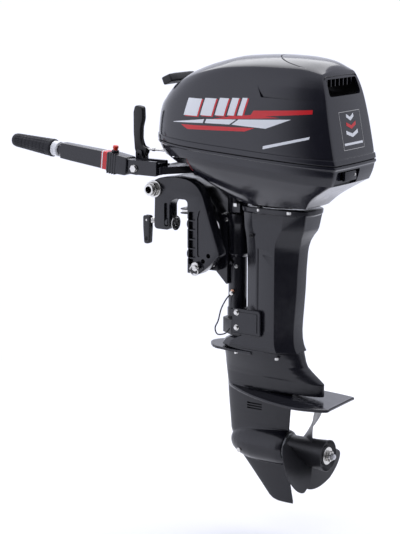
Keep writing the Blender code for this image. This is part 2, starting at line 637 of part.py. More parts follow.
def crank_train():
    """Crankshaft, flywheel, driveshaft, impeller and pinion turn together."""
    root = "crank_axis"
    joint_empty(root, (DRIVE_X, 0, 0), "steering_axis")
    centre = (DRIVE_X, 0, 0)
    shaft = [(0, 246), (9, 246), (12, 214), (15, 208)]
    for low, high in ((172, 184), (136, 148), (97, 109), (61, 73)):
        shaft += [(15, high), (37, high), (37, low), (15, low)]
    shaft += [(15, 24), (12, 20), (0, 20)]
    place("crankshaft", turned(shaft, centre, sides=BORE), "steel", root)
    wheel = [(12.6, 250), (20, 252), (60, 248), (78, 246), (84, 240), (84, 216), (78, 212), (72, 216)]
    wheel += [(72, 238), (20, 240), (17, 222), (15, 214)]
    place("flywheel", turned(wheel, centre, sides=24), "cast_alloy", root)
    place("driveshaft", rod(6.5, -558, 19.6, centre, chamfer=0.5, sides=16), "steel", root)
    ring = []
    for i in range(36):
        angle = math.tau * i / 36
        radius = 16.4 if i % 6 < 2 else 11
        ring.append((DRIVE_X + radius * math.cos(angle), radius * math.sin(angle)))
    impeller = place("pump_impeller", prism(ring, -418, -398, "z"), "rubber", root)
    cut(impeller, "bore", rod(6.8, -430, -380, centre, sides=16))
    pinion = [(0, -558.4), (9, -558.4), (11, -562), (13.2, -571), (0, -571)]
    place("pinion_gear", turned(pinion, centre, sides=BORE), "steel", root)


def propeller_train():
    for word, root, sign in (("forward", "forward_gear_axis", -1), ("reverse", "reverse_gear_axis", 1)):
        joint_empty(root, (DRIVE_X + sign * 20, 0, PROP_Z), "steering_axis")
        gear = [(8, 24), (17, 24), (22, 20), (29, 17), (27.5, 14), (12, 14), (12, 10), (8, 10)]
        profile = [(radius, DRIVE_X + sign * along) for radius, along in gear]
        if sign < 0:
            profile.reverse()
        place(f"{word}_gear", turned(profile, (0, 0, PROP_Z), "x", 18), "steel", root)
    root = "propeller_axis"
    joint_empty(root, (270, 0, PROP_Z), "steering_axis")
    centre = (0, 0, PROP_Z)
    shaft = [(0, 352), (4, 352), (7, 349), (7, 316), (9, 300), (9.4, 240), (9.4, 170), (7.4, 168), (7.4, 112)]
    shaft += [(0, 112)]
    place("propeller_shaft", turned(shaft, centre, "x", 20), "steel", root)
    dog_root = "clutch_axis"
    joint_empty(dog_root, (DRIVE_X, 0, PROP_Z), root)
    dog = tube(11.5, 7.8, DRIVE_X - 9.5, DRIVE_X + 6, centre, "x", 20)
    place("clutch_dog", dog, "steel", dog_root)
    nut = turned([(8.5, 343), (13, 343), (13, 333.4), (8.5, 333.4)], centre, "x", 6)
    place("propeller_nut", nut, "zinc", root)
    washer = tube(21, 7.3, 329.5, 333, centre, "x", 20)
    place("propeller_washer", washer, "zinc", root)
    hub = [(9.8, 329), (22, 329), (22, 322), (29, 322), (36, 334), (34, 310), (32, 234), (9.8, 234)]
    obj = place("propeller", turned(hub, centre, "x", 28), "gloss_black", root)
    for i in range(3):
        join(obj, f"blade_{i + 1}", propeller_blade(math.radians(16 + 120 * i)))


def propeller_blade(turn):
    """A blade as a helical surface: stations from the hub to the tip, each a thin lens across the chord."""
    stations = 7
    across = 6
    rings = []
    for i in range(stations):
        share = i / (stations - 1)
        radius = 26 + (PROP_R - 26) * (1 - (1 - share) ** 1.5)
        outward = (radius - 26) / (PROP_R - 26)
        chord = 66 + 62 * math.sin(math.pi * min(outward * 0.62, 1)) if outward < 0.8 else 0
        if outward >= 0.8:
            chord = 127 * math.sqrt(max(1 - ((outward - 0.8) / 0.2) ** 2, 0.012))
        thick = 3.6 - 2.4 * outward
        pitch = math.atan(PROP_PITCH / (math.tau * radius))
        upper, lower = [], []
        for j in range(across + 1):
            s = (j / across - 0.5) * chord
            bulge = thick * (1 - (2 * j / across - 1) ** 2) + 0.35
            for half, side in ((upper, 1), (lower, -1)):
                along = -s * math.sin(pitch) + side * bulge * math.cos(pitch)
                angle = turn + (s * math.cos(pitch) + side * bulge * math.sin(pitch)) / radius
                x = 270 + 22 * outward + along
                half.append((x, radius * math.sin(angle), PROP_Z + radius * math.cos(angle)))
        rings.append(upper + lower[::-1])
    return loft(rings)


# Controls


def tiller():
    joint_empty("tiller_axis", TILLER_HINGE, "steering_axis")
    lean = Matrix.Translation(TILLER_HINGE) @ Matrix.Rotation(TILLER_RISE, 4, "Y")
    tongue = block((-40, -15, -17), (12, 15, 17), 4.0)
    arm = place("tiller_arm", moved(tongue, lean), "gloss_black", "tiller_axis")
    bar = [[(-232, y, z) for y, z in ((-14, -17), (14, -17), (14, 21), (-14, 21))]]
    bar += [[(-92, y, z) for y, z in ((-15, -20), (15, -20), (15, 23), (-15, 23))]]
    join(arm, "bar", moved(loft(bar), lean))
    join(arm, "knuckle", moved(block((-100, -19, -25), (-26, 19, 24), 5.0, 2), lean))
    join(arm, "nose", moved(rod(13, -244, -230, (0, 0, 2), "x"), lean))
    join(arm, "button_boss", moved(rod(9, 22, 29, (-76, 0, 0), sides=16), lean))
    cut(arm, "hinge_bore", rod(5.3, -60, 60, TILLER_HINGE, "y", sides=16))
    cut(arm, "button_well", moved(rod(6.5, 14, 40, (-76, 0, 0), sides=16), lean))
    bolt = rod(4.9, -27, 27, TILLER_HINGE, "y", 0.5, 16)
    obj = place("tiller_pivot_bolt", bolt, "zinc", "steering_axis")
    join(obj, "head", rod(9, -31, -24.4, TILLER_HINGE, "y", 0.0, 6))
    grip_centre = lean @ Vector((-246, 0, 2))
    joint_empty("throttle_axis", grip_centre, "tiller_axis")
    dial = turned([(0, -244.4), (18.5, -244.4), (18.5, -262), (0, -262)], (0, 0, 2), "x", 20)
    place("throttle_dial", moved(dial, lean), "white", "throttle_axis")
    profile = [(0, -262.4), (21, -262.4), (22, -268), (21.5, -300)]
    profile += [(17, -380), (15.5, -388), (10, -TILLER_REACH), (0, -TILLER_REACH)]
    grip = turned(profile, (0, 0, 2), "x", 20)
    place("throttle_grip", moved(grip, lean), "rubber", "throttle_axis")
    top = lean @ Vector((-76, 0, 34))
    joint_empty("stop_axis", top, "tiller_axis")
    profile = [(0, 40), (5.8, 40), (6.8, 38.5), (6.8, 33), (5.6, 32), (5.6, 21), (0, 21)]
    button = turned(profile, (-76, 0, 0), sides=16)
    place("stop_button", moved(button, lean), "red", "stop_axis")


def shift_controls():
    x, y, z = LEVER_PIVOT
    joint_empty("shift_axis", LEVER_PIVOT, "steering_axis")
    outline = [(-10, -9), (10, -9), (18, 4), (19, 16), (8, 18), (1, 34), (2, 62), (8, 84), (6, 110)]
    outline += [(-2, 114), (-16, 113), (-19, 104), (-20, 50), (-17, 12)]
    lever = prism([(x + a, z + b) for a, b in outline], y - 7.6, y + 7.6)
    obj = place("shift_lever", lever, "matte_black", "shift_axis")
    cut(obj, "pivot_bore", rod(3.6, -20, 20, LEVER_PIVOT, "y", sides=12))
    cut(obj, "rod_fork", block((x + 5, y - 3.4, z - 6), (x + 30, y + 3.4, z + 30)))
    joint_empty("shift_rod_axis", (x + 14, y, z + 12), "steering_axis")
    place("shift_rod", rod(2.8, x + 9, -40, (0, y, z + 12), "x", 0.4, 12), "zinc", "shift_rod_axis")
    joint_empty("shift_shaft_axis", (SHIFT_X, 0, -300), "steering_axis")
    shaft = rod(3.6, PROP_Z + 36, -40, (SHIFT_X, 0, 0), sides=BORE)
    place("shift_shaft", shaft, "steel", "shift_shaft_axis")


def ground_lead():
    """Earth wire from the swivel bracket round to the lower mount, held at both ends."""
    route = [(82, -27.6, -222), (70, -31, -236), (56, -33, -262), (52, -40, -290), (50, -50, -306)]
    route += [(62, -58, -318), (82, -56, -314), (91, -50, -302)]
    curve_points = smooth_path(route, 3)
    place("ground_lead", bent_tube(curve_points, 1.6, 6), "matte_black", "steering_axis")


def main():
    clear_scene()
    clamp_bracket(-1)
    clamp_bracket(1)
    tilt_hardware()
    tilt_pin()
    clamp_screw(-1)
    clamp_screw(1)
    swivel_bracket()
    steering_parts()
    leg()
    gearcase()
    lower_unit_parts()
    bottom_cowl()
    top_cowl()
    cowl_latch()
    starter()
    powerhead()
    crank_train()
    propeller_train()
    tiller()
    shift_controls()
    ground_lead()


main()
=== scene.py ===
"""Looks for the tiller-steered outboard motor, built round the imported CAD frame.

Lengths are millimetres until a mesh is finished, which scales it to metres.
+X points aft, +Y to starboard and +Z up, from the top centre of the transom's aft face.
"""

import math

import bmesh
import bpy
import numpy as np
from mathutils import Matrix, Vector


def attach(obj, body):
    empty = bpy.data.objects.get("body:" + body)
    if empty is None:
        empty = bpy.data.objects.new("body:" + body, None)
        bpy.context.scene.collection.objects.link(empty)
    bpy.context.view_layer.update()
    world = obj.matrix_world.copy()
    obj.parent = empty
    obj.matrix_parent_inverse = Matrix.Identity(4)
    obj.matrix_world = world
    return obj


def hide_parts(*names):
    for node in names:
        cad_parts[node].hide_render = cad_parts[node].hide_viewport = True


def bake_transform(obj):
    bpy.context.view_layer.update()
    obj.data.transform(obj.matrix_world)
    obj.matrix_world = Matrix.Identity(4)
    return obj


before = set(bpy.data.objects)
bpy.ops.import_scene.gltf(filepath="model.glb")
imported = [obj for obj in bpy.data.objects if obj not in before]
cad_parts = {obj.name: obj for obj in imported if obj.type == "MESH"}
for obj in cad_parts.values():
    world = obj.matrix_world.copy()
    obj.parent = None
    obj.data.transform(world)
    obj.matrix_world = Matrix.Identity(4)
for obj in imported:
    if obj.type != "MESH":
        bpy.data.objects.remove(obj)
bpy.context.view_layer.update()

MM = 0.001
BACK_BOW = 5.0  # the cowl's back is this much lower at its edges than in the middle
CORNER = 2.2  # roundness of the corner between side and back
TILT = (-93.0, 19.0)  # tilt tube's centre, in X and Z
STEER_X = 80.5
DRIVE_X = 142.0
PROP_Z = -583.0
PLATE_Z = -452.0
SCREW_Y, SCREW_Z = 78.0, -60.0
TILLER_HINGE = (-133.0, -95.0, 66.0)
TILLER_RISE = math.radians(5.6)
LEVER_PIVOT = (-152.0, -62.0, 94.0)
PIN_HOLE_R = 210.0
PIN_ANGLE = math.radians(-54.8)
PIN_X = TILT[0] + PIN_HOLE_R * math.cos(PIN_ANGLE)
PIN_Z = TILT[1] + PIN_HOLE_R * math.sin(PIN_ANGLE)
LEAN = Matrix.Translation(TILLER_HINGE) @ Matrix.Rotation(TILLER_RISE, 4, "Y")

# Materials


def noise(nodes, links, coords, scale, detail=3.0):
    tex = nodes.new("ShaderNodeTexNoise")
    tex.inputs["Scale"].default_value = scale
    tex.inputs["Detail"].default_value = detail
    links.new(coords, tex.inputs["Vector"])
    return tex.outputs["Fac"]


def spread(nodes, links, value, low, high, start=0.3, end=0.7):
    """value between start and end becomes low to high."""
    ramp = nodes.new("ShaderNodeMapRange")
    ramp.inputs["From Min"].default_value = start
    ramp.inputs["From Max"].default_value = end
    ramp.inputs["To Min"].default_value = low
    ramp.inputs["To Max"].default_value = high
    links.new(value, ramp.inputs["Value"])
    return ramp.outputs["Result"]


def finish(name, colour, rough, metal=0.0, coat=0.0, wander=0.04, tint=0.15, grain=900.0, depth=0.03,
           brushed=None, gloss=0.5):
    """One surface: a slow colour shift, roughness that wanders, and a fine grain in the bump."""
    mat = bpy.data.materials.new(name)
    mat.use_nodes = True
    nodes, links = mat.node_tree.nodes, mat.node_tree.links
    shader = nodes["Principled BSDF"]
    coords = nodes.new("ShaderNodeTexCoord").outputs["Object"]
    slow = noise(nodes, links, coords, 14.0, 4.0)
    mix = nodes.new("ShaderNodeMix")
    mix.data_type = "RGBA"
    mix.inputs["A"].default_value = (*[c * (1 - tint) for c in colour], 1)
    mix.inputs["B"].default_value = (*[min(c * (1 + tint), 1) for c in colour], 1)
    links.new(slow, mix.inputs["Factor"])
    links.new(mix.outputs["Result"], shader.inputs["Base Color"])
    patchy = noise(nodes, links, coords, 60.0, 5.0)
    links.new(spread(nodes, links, patchy, rough - wander, rough + wander), shader.inputs["Roughness"])
    if brushed:
        mapping = nodes.new("ShaderNodeMapping")
        mapping.inputs["Scale"].default_value = brushed
        links.new(coords, mapping.inputs["Vector"])
        coords = mapping.outputs["Vector"]
    fine = noise(nodes, links, coords, grain, 2.0)
    bump = nodes.new("ShaderNodeBump")
    bump.inputs["Strength"].default_value = depth
    bump.inputs["Distance"].default_value = 0.001
    links.new(fine, bump.inputs["Height"])
    links.new(bump.outputs["Normal"], shader.inputs["Normal"])
    shader.inputs["Metallic"].default_value = metal
    shader.inputs["Specular IOR Level"].default_value = gloss
    shader.inputs["Coat Weight"].default_value = coat
    shader.inputs["Coat Roughness"].default_value = 0.04
    return mat


looks = {
    "paint": finish("paint", (0.0090, 0.0090, 0.0140), 0.18, coat=0.15, grain=350.0, depth=0.008),
    "cast_paint": finish("cast_paint", (0.0075, 0.0075, 0.0110), 0.22, coat=0.0, grain=420.0, depth=0.02),
    "satin": finish("satin", (0.012, 0.012, 0.014), 0.42, grain=700.0, depth=0.08),
    "plastic": finish("plastic", (0.0085, 0.0085, 0.009), 0.5, grain=1100.0, depth=0.15),
    "dark": finish("dark", (0.004, 0.004, 0.004), 0.7, grain=600.0, depth=0.1),
    "rubber": finish("rubber", (0.014, 0.0145, 0.018), 0.6, wander=0.08, grain=1600.0, depth=0.2, gloss=0.3),
    "zinc": finish("zinc", (0.62, 0.61, 0.58), 0.26, 1.0, tint=0.1, wander=0.08, grain=300.0, depth=0.08),
    "brass": finish("brass", (0.62, 0.36, 0.24), 0.3, 1.0, tint=0.12, wander=0.08, grain=300.0, depth=0.08),
    "steel": finish("steel", (0.5, 0.5, 0.51), 0.3, 1.0, tint=0.08, grain=400.0, depth=0.06,
                    brushed=(1, 1, 12)),
    "alloy": finish("alloy", (0.42, 0.43, 0.44), 0.5, 1.0, tint=0.12, wander=0.08, grain=900.0, depth=0.35),
    "anode": finish("anode", (0.5, 0.51, 0.52), 0.6, 1.0, tint=0.2, wander=0.1, grain=500.0, depth=0.4),
    "red": finish("red", (0.72, 0.035, 0.012), 0.32, tint=0.06, grain=700.0, depth=0.03),
    "white": finish("white", (0.78, 0.79, 0.8), 0.38, tint=0.04, grain=800.0, depth=0.04),
    "ceramic": finish("ceramic", (0.82, 0.8, 0.76), 0.25, tint=0.04, grain=500.0, depth=0.03),
    "film_red": finish("film_red", (0.62, 0.012, 0.018), 0.22, tint=0.05, grain=500.0, depth=0.01),
    "film_white": finish("film_white", (0.8, 0.82, 0.84), 0.24, tint=0.04, grain=500.0, depth=0.01),
    "maroon": finish("maroon", (0.10, 0.006, 0.010), 0.3, tint=0.1, grain=500.0, depth=0.02),
    "rope": finish("rope", (0.75, 0.74, 0.7), 0.8, tint=0.1, grain=500.0, depth=0.5, brushed=(3, 1, 1)),
}

# Mesh building


def piece(name, bm, look, sharp=35):
    mesh = bpy.data.meshes.new(name)
    bmesh.ops.recalc_face_normals(bm, faces=bm.faces)
    bm.transform(Matrix.Diagonal((MM, MM, MM, 1)))
    bm.to_mesh(mesh)
    bm.free()
    mesh.materials.append(looks[look])
    obj = bpy.data.objects.new(name, mesh)
    bpy.context.scene.collection.objects.link(obj)
    obj["sharp"] = sharp
    return obj


def bake(obj):
    """Applies the modifiers."""
    graph = bpy.context.evaluated_depsgraph_get()
    graph.update()
    mesh = bpy.data.meshes.new_from_object(obj.evaluated_get(graph))
    old = obj.data
    obj.modifiers.clear()
    obj.data = mesh
    bpy.data.meshes.remove(old)
    return obj


def combine(obj, bms, operation):
    for bm in bms:
        other = piece("tool", bm, "dark")
        modifier = obj.modifiers.new("boolean", "BOOLEAN")
        modifier.operation = operation
        modifier.solver = "EXACT"
        modifier.object = other
        bake(obj)
        bpy.data.objects.remove(other)
    return obj


def cut(obj, *bms):
    return combine(obj, bms, "DIFFERENCE")


def join(obj, *bms):
    return combine(obj, bms, "UNION")


def soften(obj, width, steps=2, angle=32):
    modifier = obj.modifiers.new("bevel", "BEVEL")
    modifier.width = width * MM
    modifier.segments = steps
    modifier.limit_method = "ANGLE"
    modifier.angle_limit = math.radians(angle)
    modifier.harden_normals = False
    modifier.miter_outer = "MITER_ARC"
    return bake(obj)


def mount(obj, body, nodes=()):
    """Shades the piece, lets it ride on its body and stand for its CAD nodes."""
    mesh = obj.data
    mesh.shade_smooth()
    mesh.set_sharp_from_angle(angle=math.radians(obj["sharp"]))
    del obj["sharp"]
    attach(obj, body)
    if nodes:
        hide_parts(*([nodes] if isinstance(nodes, str) else nodes))
    return obj


def loft(rings, closed=False, caps=True):
    """Skin over rings of equal point counts."""
    bm = bmesh.new()
    rows = [[bm.verts.new(p) for p in ring] for ring in rings]
    count = len(rows[0])
    pairs = list(zip(rows, rows[1:]))
    if closed:
        pairs.append((rows[-1], rows[0]))
    for low, high in pairs:
        for i in range(count):
            j = (i + 1) % count
            bm.faces.new((low[i], low[j], high[j], high[i]))
    if caps and not closed:
        bm.faces.new(rows[0][::-1])
        bm.faces.new(rows[-1])
    return bm


def prism(outline, low, high, axis="y"):
    place = {
        "x": lambda a, b, c: (c, a, b),
        "y": lambda a, b, c: (a, c, b),
        "z": lambda a, b, c: (a, b, c),
    }[axis]
    return loft([[place(a, b, c) for a, b in outline] for c in (low, high)])


def block(low, high):
    outline = [(low[0], low[1]), (high[0], low[1]), (high[0], high[1]), (low[0], high[1])]
    return prism(outline, low[2], high[2], "z")


def turned(profile, centre=(0, 0, 0), axis="z", sides=48):
    """profile is (radius, along) pairs round the axis, closed from its last point to its first."""
    bm = bmesh.new()
    turn = {"x": lambda r, a, h: (h, r * math.cos(a), r * math.sin(a)),
            "y": lambda r, a, h: (r * math.cos(a), h, r * math.sin(a)),
            "z": lambda r, a, h: (r * math.cos(a), r * math.sin(a), h)}[axis]
    rows = []
    for radius, along in profile:
        if radius == 0:
            rows.append([bm.verts.new(Vector(turn(0, 0, along)) + Vector(centre))])
            continue
        row = []
        for i in range(sides):
            row.append(bm.verts.new(Vector(turn(radius, math.tau * i / sides, along)) + Vector(centre)))
        rows.append(row)
    for low, high in zip(rows, rows[1:] + rows[:1]):
        if len(low) == 1 and len(high) == 1:
            continue
        for i in range(sides):
            j = (i + 1) % sides
            if len(low) == 1:
                bm.faces.new((low[0], high[j], high[i]))
            elif len(high) == 1:
                bm.faces.new((low[i], low[j], high[0]))
            else:
                bm.faces.new((low[i], low[j], high[j], high[i]))
    return bm


def rod(radius, low, high, centre=(0, 0, 0), axis="z", chamfer=0.0, sides=48):
    profile = [(0, low), (radius - chamfer, low), (radius, low + chamfer)] if chamfer else [(0, low),
                                                                                            (radius, low)]
    profile += [(radius, high - chamfer), (radius - chamfer, high),
                (0, high)] if chamfer else [(radius, high), (0, high)]
    return turned(profile, centre, axis, sides)


def arc(centre, radius, start, end, steps):
    found = []
    for i in range(steps + 1):
        angle = math.radians(start + (end - start) * i / steps)
        found.append((centre[0] + radius * math.cos(angle), centre[1] + radius * math.sin(angle)))
    return found


def rounded(corners, steps=5):
    """Corners are (a, b, radius); each becomes an arc, so every outline of as many corners matches."""
    found = []
    count = len(corners)
    for i, (a, b, radius) in enumerate(corners):
        here = Vector((a, b))
        before = Vector(corners[i - 1][:2]) - here
        after = Vector(corners[(i + 1) % count][:2]) - here
        turn = before.angle(after)
        reach = min(radius / math.tan(turn / 2), before.length * 0.48, after.length * 0.48)
        start, end = here + before.normalized() * reach, here + after.normalized() * reach
        for k in range(steps + 1):
            t = k / steps
            found.append(tuple((1 - t) ** 2 * start + 2 * t * (1 - t) * here + t * t * end))
    return found


def smooth_path(points, per_span):
    """Catmull-Rom curve through the points."""
    ends = [points[0], *points, points[-1]]
    found = []
    for a, b, c, d in zip(ends, ends[1:], ends[2:], ends[3:]):
        a, b, c, d = (Vector(p) for p in (a, b, c, d))
        for i in range(per_span):
            t = i / per_span
            found.append(0.5 * (2 * b + (c - a) * t + (2 * a - 5 * b + 4 * c - d) * t * t
                                + (3 * b - a - 3 * c + d) * t**3))
    return found + [Vector(points[-1])]


def bent_tube(points, radius, sides=12, radii=None):
    points = [Vector(p) for p in points]
    rings = []
    side = None
    for i, point in enumerate(points):
        ahead = points[min(i + 1, len(points) - 1)] - points[max(i - 1, 0)]
        ahead.normalize()
        if side is None:
            side = ahead.orthogonal().normalized()
        side = (side - ahead * side.dot(ahead)).normalized()
        up = ahead.cross(side)
        size = radii[i] if radii else radius
        ring = []
        for k in range(sides):
            angle = math.tau * k / sides
            ring.append(point + (side * math.cos(angle) + up * math.sin(angle)) * size)
        rings.append(ring)
    return loft(rings)


def moved(bm, matrix):
    bm.transform(matrix)
    return bm


def curve(points):
    """Monotone cubic through (key, value) points, held level past its ends."""
    keys, values = np.array(points, float).T
    steps = np.diff(keys)
    secants = np.diff(values) / steps
    slopes = np.zeros(len(keys))
    slopes[0], slopes[-1] = secants[0], secants[-1]
    for i in range(1, len(keys) - 1):
        if secants[i - 1] * secants[i] > 0:
            a, b = 2 * steps[i] + steps[i - 1], steps[i] + 2 * steps[i - 1]
            slopes[i] = (a + b) / (a / secants[i - 1] + b / secants[i])

    def value(key):
        key = np.clip(key, keys[0], keys[-1])
        i = np.clip(np.searchsorted(keys, key) - 1, 0, len(steps) - 1)
        t = (key - keys[i]) / steps[i]
        first = values[i] * (2 * t**3 - 3 * t**2 + 1) + slopes[i] * steps[i] * (t**3 - 2 * t**2 + t)
        return first + values[i + 1] * (3 * t**2 - 2 * t**3) + slopes[i + 1] * steps[i] * (t**3 - t**2)

    return value


def half_plan(front, rear, half, bow, stern, count, widest=0.45, flat=0.0):
    """Plan outline from the bow round the starboard side to the stern.

    Its points are spread by length and turning. With flat, the stern's curve would run on that far
    past the rear, where a slightly bowed back cuts it off.
    """
    t = np.linspace(0, math.pi, 3001)
    middle = front + (rear + flat - front) * widest
    c, s = np.cos(t), np.sin(t)
    power = 2 / np.where(c > 0, bow, stern)
    x = middle - np.where(c > 0, middle - front, middle - rear - flat) * np.abs(c) ** power
    y = half * np.abs(s) ** power
    x[0], x[-1], y[0], y[-1] = front, rear + flat, 0, 0
    if flat:
        back = rear - BACK_BOW * (y / half) ** 2
        # A smooth minimum rounds the corner.
        gap = (x - back) / CORNER
        x = np.where(gap > 12, back, x - CORNER * np.log1p(np.exp(np.minimum(gap, 12))))
        x = np.maximum(x, front)
    dx, dy = np.diff(x), np.diff(y)
    length = np.hypot(dx, dy)
    turn = np.abs(np.diff(np.unwrap(np.arctan2(dy, dx)), prepend=math.pi / 2))
    weight = length / length.sum() + 0.8 * turn / turn.sum()
    along = np.concatenate([[0], np.cumsum(weight)])
    at = np.linspace(0, along[-1], count)
    return np.interp(at, along, x), np.interp(at, along, y)


def both_sides(x, y, z):
    """Closed ring from a starboard half, mirrored to port."""
    ring = [(a, b, c) for a, b, c in zip(x, y, z)]
    return ring + [(a, -b, c) for a, b, c in ring[-2:0:-1]]


# Camera, floor and light


def studio():
    scene = bpy.context.scene
    data = bpy.data.cameras.new("camera")
    data.sensor_width = 36
    data.lens = 1500 * 36 / 534
    camera = bpy.data.objects.new("camera", data)
    scene.collection.objects.link(camera)
    azimuth, pitch = math.radians(34.4), math.radians(11.7)
    back = Vector((math.sin(azimuth) * math.cos(pitch), -math.cos(azimuth) * math.cos(pitch),
                   math.sin(pitch)))
    aim = Vector((-0.0276, 0, -0.1773))
    distance = 3.6
    camera.location = aim + back * distance
    camera.rotation_euler = (-back).to_track_quat("-Z", "Y").to_euler()
    scene.camera = camera

    floor_radius = 1.6
    floor_height = -0.80
    floor = bpy.data.meshes.new("floor")
    bm = bmesh.new()
    bmesh.ops.create_circle(bm, cap_ends=True, radius=floor_radius, segments=96)
    bm.transform(Matrix.Translation((0, 0, floor_height)))
    bm.to_mesh(floor)
    bm.free()
    floor.materials.append(finish("floor", (0.86, 0.86, 0.87), 0.9, tint=0.01, depth=0.0))
    ground = bpy.data.objects.new("floor", floor)
    scene.collection.objects.link(ground)

    world = bpy.data.worlds.new("world")
    scene.world = world
    world.use_nodes = True
    nodes, links = world.node_tree.nodes, world.node_tree.links
    background = nodes["Background"]
    # A bright sweep all round but for a dark sector on the near right.
    coords = nodes.new("ShaderNodeTexCoord").outputs["Generated"]
    strength = None
    # Each row: a direction, the cosines from it where a change starts and ends, and the strength
    # before and after.
    for toward, start, end, before, after in (
        ((0.56, -0.82, -0.1), 0.42, 0.9, 1.08, 0.06),
        ((0.565, 0.825, 0.0), 0.5, 1.0, 1.0, 0.66),
        ((-0.565, -0.825, 0.0), 0.6, 1.0, 1.0, 1.25),
    ):
        dot = nodes.new("ShaderNodeVectorMath")
        dot.operation = "DOT_PRODUCT"
        dot.inputs[1].default_value = toward
        links.new(coords, dot.inputs[0])
        fall = nodes.new("ShaderNodeMapRange")
        fall.interpolation_type = "SMOOTHSTEP"
        fall.inputs["From Min"].default_value = start
        fall.inputs["From Max"].default_value = end
        fall.inputs["To Min"].default_value = before
        fall.inputs["To Max"].default_value = after
        links.new(dot.outputs["Value"], fall.inputs["Value"])
        if strength is None:
            strength = fall.outputs["Result"]
            continue
        times = nodes.new("ShaderNodeMath")
        times.operation = "MULTIPLY"
        links.new(strength, times.inputs[0])
        links.new(fall.outputs["Result"], times.inputs[1])
        strength = times.outputs["Value"]
    links.new(strength, background.inputs["Strength"])
    background.inputs["Color"].default_value = (0.93, 0.95, 1.08, 1)
    light = bpy.data.lights.new("top", "AREA")
    light.size = 3.2
    light.energy = 72
    lamp = bpy.data.objects.new("top", light)
    lamp.location = (-0.6, 1.2, 2.4)
    lit_point = Vector((0, 0.2, -0.6))
    lamp.rotation_euler = (lit_point - lamp.location).to_track_quat("-Z", "Y").to_euler()
    scene.collection.objects.link(lamp)
    scene.view_settings.view_transform = "Standard"
    scene.view_settings.look = "None"


# Top cowl

SEAM = curve([(-130, 137.7), (400, 106.4)])
SHOULDER = curve([(-84, 248), (-40, 269), (0, 285), (48, 300), (118, 313), (208, 318), (288, 315),
                  (330, 306), (345, 302)])
RIDGE = curve([(-84, 248), (-60, 266), (-27, 290), (10, 306), (48, 318), (118, 333), (208, 337.5),
               (260, 336), (288, 333),
               (315, 327.5), (332, 318), (340, 309.5), (345, 302)])
BOW_X = curve([(0, -116.5), (0.3, -113.5), (0.68, -107.5), (0.86, -97.5), (1, -84)])
STERN_X = curve([(0, 391.5), (0.538, 371), (0.733, 363), (0.836, 357.5), (0.938, 350.5), (0.97, 348),
                 (1, 345)])
HALF_Y = curve([(0, 129.5), (0.2, 128.6), (0.44, 125.3), (0.68, 117), (0.85, 106.5), (0.95, 97), (1, 90)])
BOW_POWER = curve([(0, 2.55), (0.7, 2.6), (1, 2.6)])
STERN_POWER = curve([(0, 3.2), (0.7, 3.3), (1, 3.6)])
COLUMNS = 130
FULL_HEIGHT = 186.0  # height over the seam at which the plan curves reach their end
STERN_RUN = 38.0
WIDEST = 0.42
COWL_WALL = 6.5


def side_half(x, front, rear, half, bow, stern):
    """Half-width at x, for the same plan as half_plan draws with its flat back."""
    middle = front + (rear + STERN_RUN - front) * WIDEST
    power, reach = (bow, middle - front) if x < middle else (stern, rear + STERN_RUN - middle)
    return half * (1 - min(abs(x - middle) / reach, 1) ** power) ** (1 / power)


def cowl_plan(share, out=0.0, count=COLUMNS):
    front, rear, half = BOW_X(share) - out, STERN_X(share) + out, HALF_Y(share) + out
    return half_plan(front, rear, half, BOW_POWER(share), STERN_POWER(share), count, WIDEST, STERN_RUN)


def cowl_side(x, z, lift=0.0):
    """Half-width of the top cowl at a point on its side."""
    share = (z - SEAM(x)) / (SHOULDER(x) - SEAM(x))
    sizes = [float(f(share)) for f in (BOW_X, STERN_X, HALF_Y, BOW_POWER, STERN_POWER)]
    return side_half(x, *sizes) + lift


def cowl_skin(rim, out=0.0, drop=0.0):
    """Closed skin of the top cowl: rim rows of (height, out) round its foot, then the side and the crown."""
    rows = []
    for height, proud in rim:
        x, y = cowl_plan(height / FULL_HEIGHT, proud)
        rows.append((x, y, SEAM(x) + height))
    start = rim[-1][0]
    for share in np.concatenate([np.linspace(0.03, 0.9, 34), np.linspace(0.915, 1, 10)]):
        x, y = cowl_plan(0.09 + 0.91 * share, out)
        rows.append((x, y, SEAM(x) + start + (SHOULDER(x) - drop - SEAM(x) - start) * share))
    bm = bmesh.new()
    rings = [[bm.verts.new(p) for p in both_sides(*row)] for row in rows]
    count = len(rings[0])
    bm.faces.new(rings[0][::-1])
    for low, high in zip(rings, rings[1:]):
        for i in range(count):
            j = (i + 1) % count
            bm.faces.new((low[i], low[j], high[j], high[i]))
    # The crown: strips across from starboard to port.
    top = rings[-1]
    x, y, _ = rows[-1]
    across = np.concatenate([np.linspace(0, 0.12, 7), np.linspace(0.16, 0.84, 19), np.linspace(0.88, 1, 7)])
    strips = []
    for i in range(1, COLUMNS - 1):
        strip = [top[i]]
        for share in across[1:-1]:
            t = 1 - 2 * share
            z = RIDGE(x[i]) - (RIDGE(x[i]) - SHOULDER(x[i])) * abs(t) ** 2.3 - drop
            strip.append(bm.verts.new((x[i], y[i] * t, z)))
        strips.append(strip + [top[count - i]])
    for low, high in zip(strips, strips[1:]):
        for a, b, c, d in zip(low, low[1:], high[1:], high):
            bm.faces.new((a, d, c, b))
    for tip, strip in ((top[0], strips[0]), (top[COLUMNS - 1], strips[-1])):
        for a, b in zip(strip, strip[1:]):
            bm.faces.new((tip, a, b))
    near = [v for ring in rings[-9:] for v in ring]
    for strip in strips:
        near += strip[1:8] + strip[-8:-1]
    for _ in range(5):
        bmesh.ops.smooth_vert(bm, verts=near, factor=0.5, use_axis_x=True, use_axis_y=True, use_axis_z=True)
    crown = [v for strip in strips for v in strip] + [v for ring in rings[len(rim) + 2:] for v in ring]
    crown = list(dict.fromkeys(crown))
    for _ in range(2):
        bmesh.ops.smooth_vert(bm, verts=crown, factor=0.5, use_axis_x=True, use_axis_y=True, use_axis_z=True)
    return bm


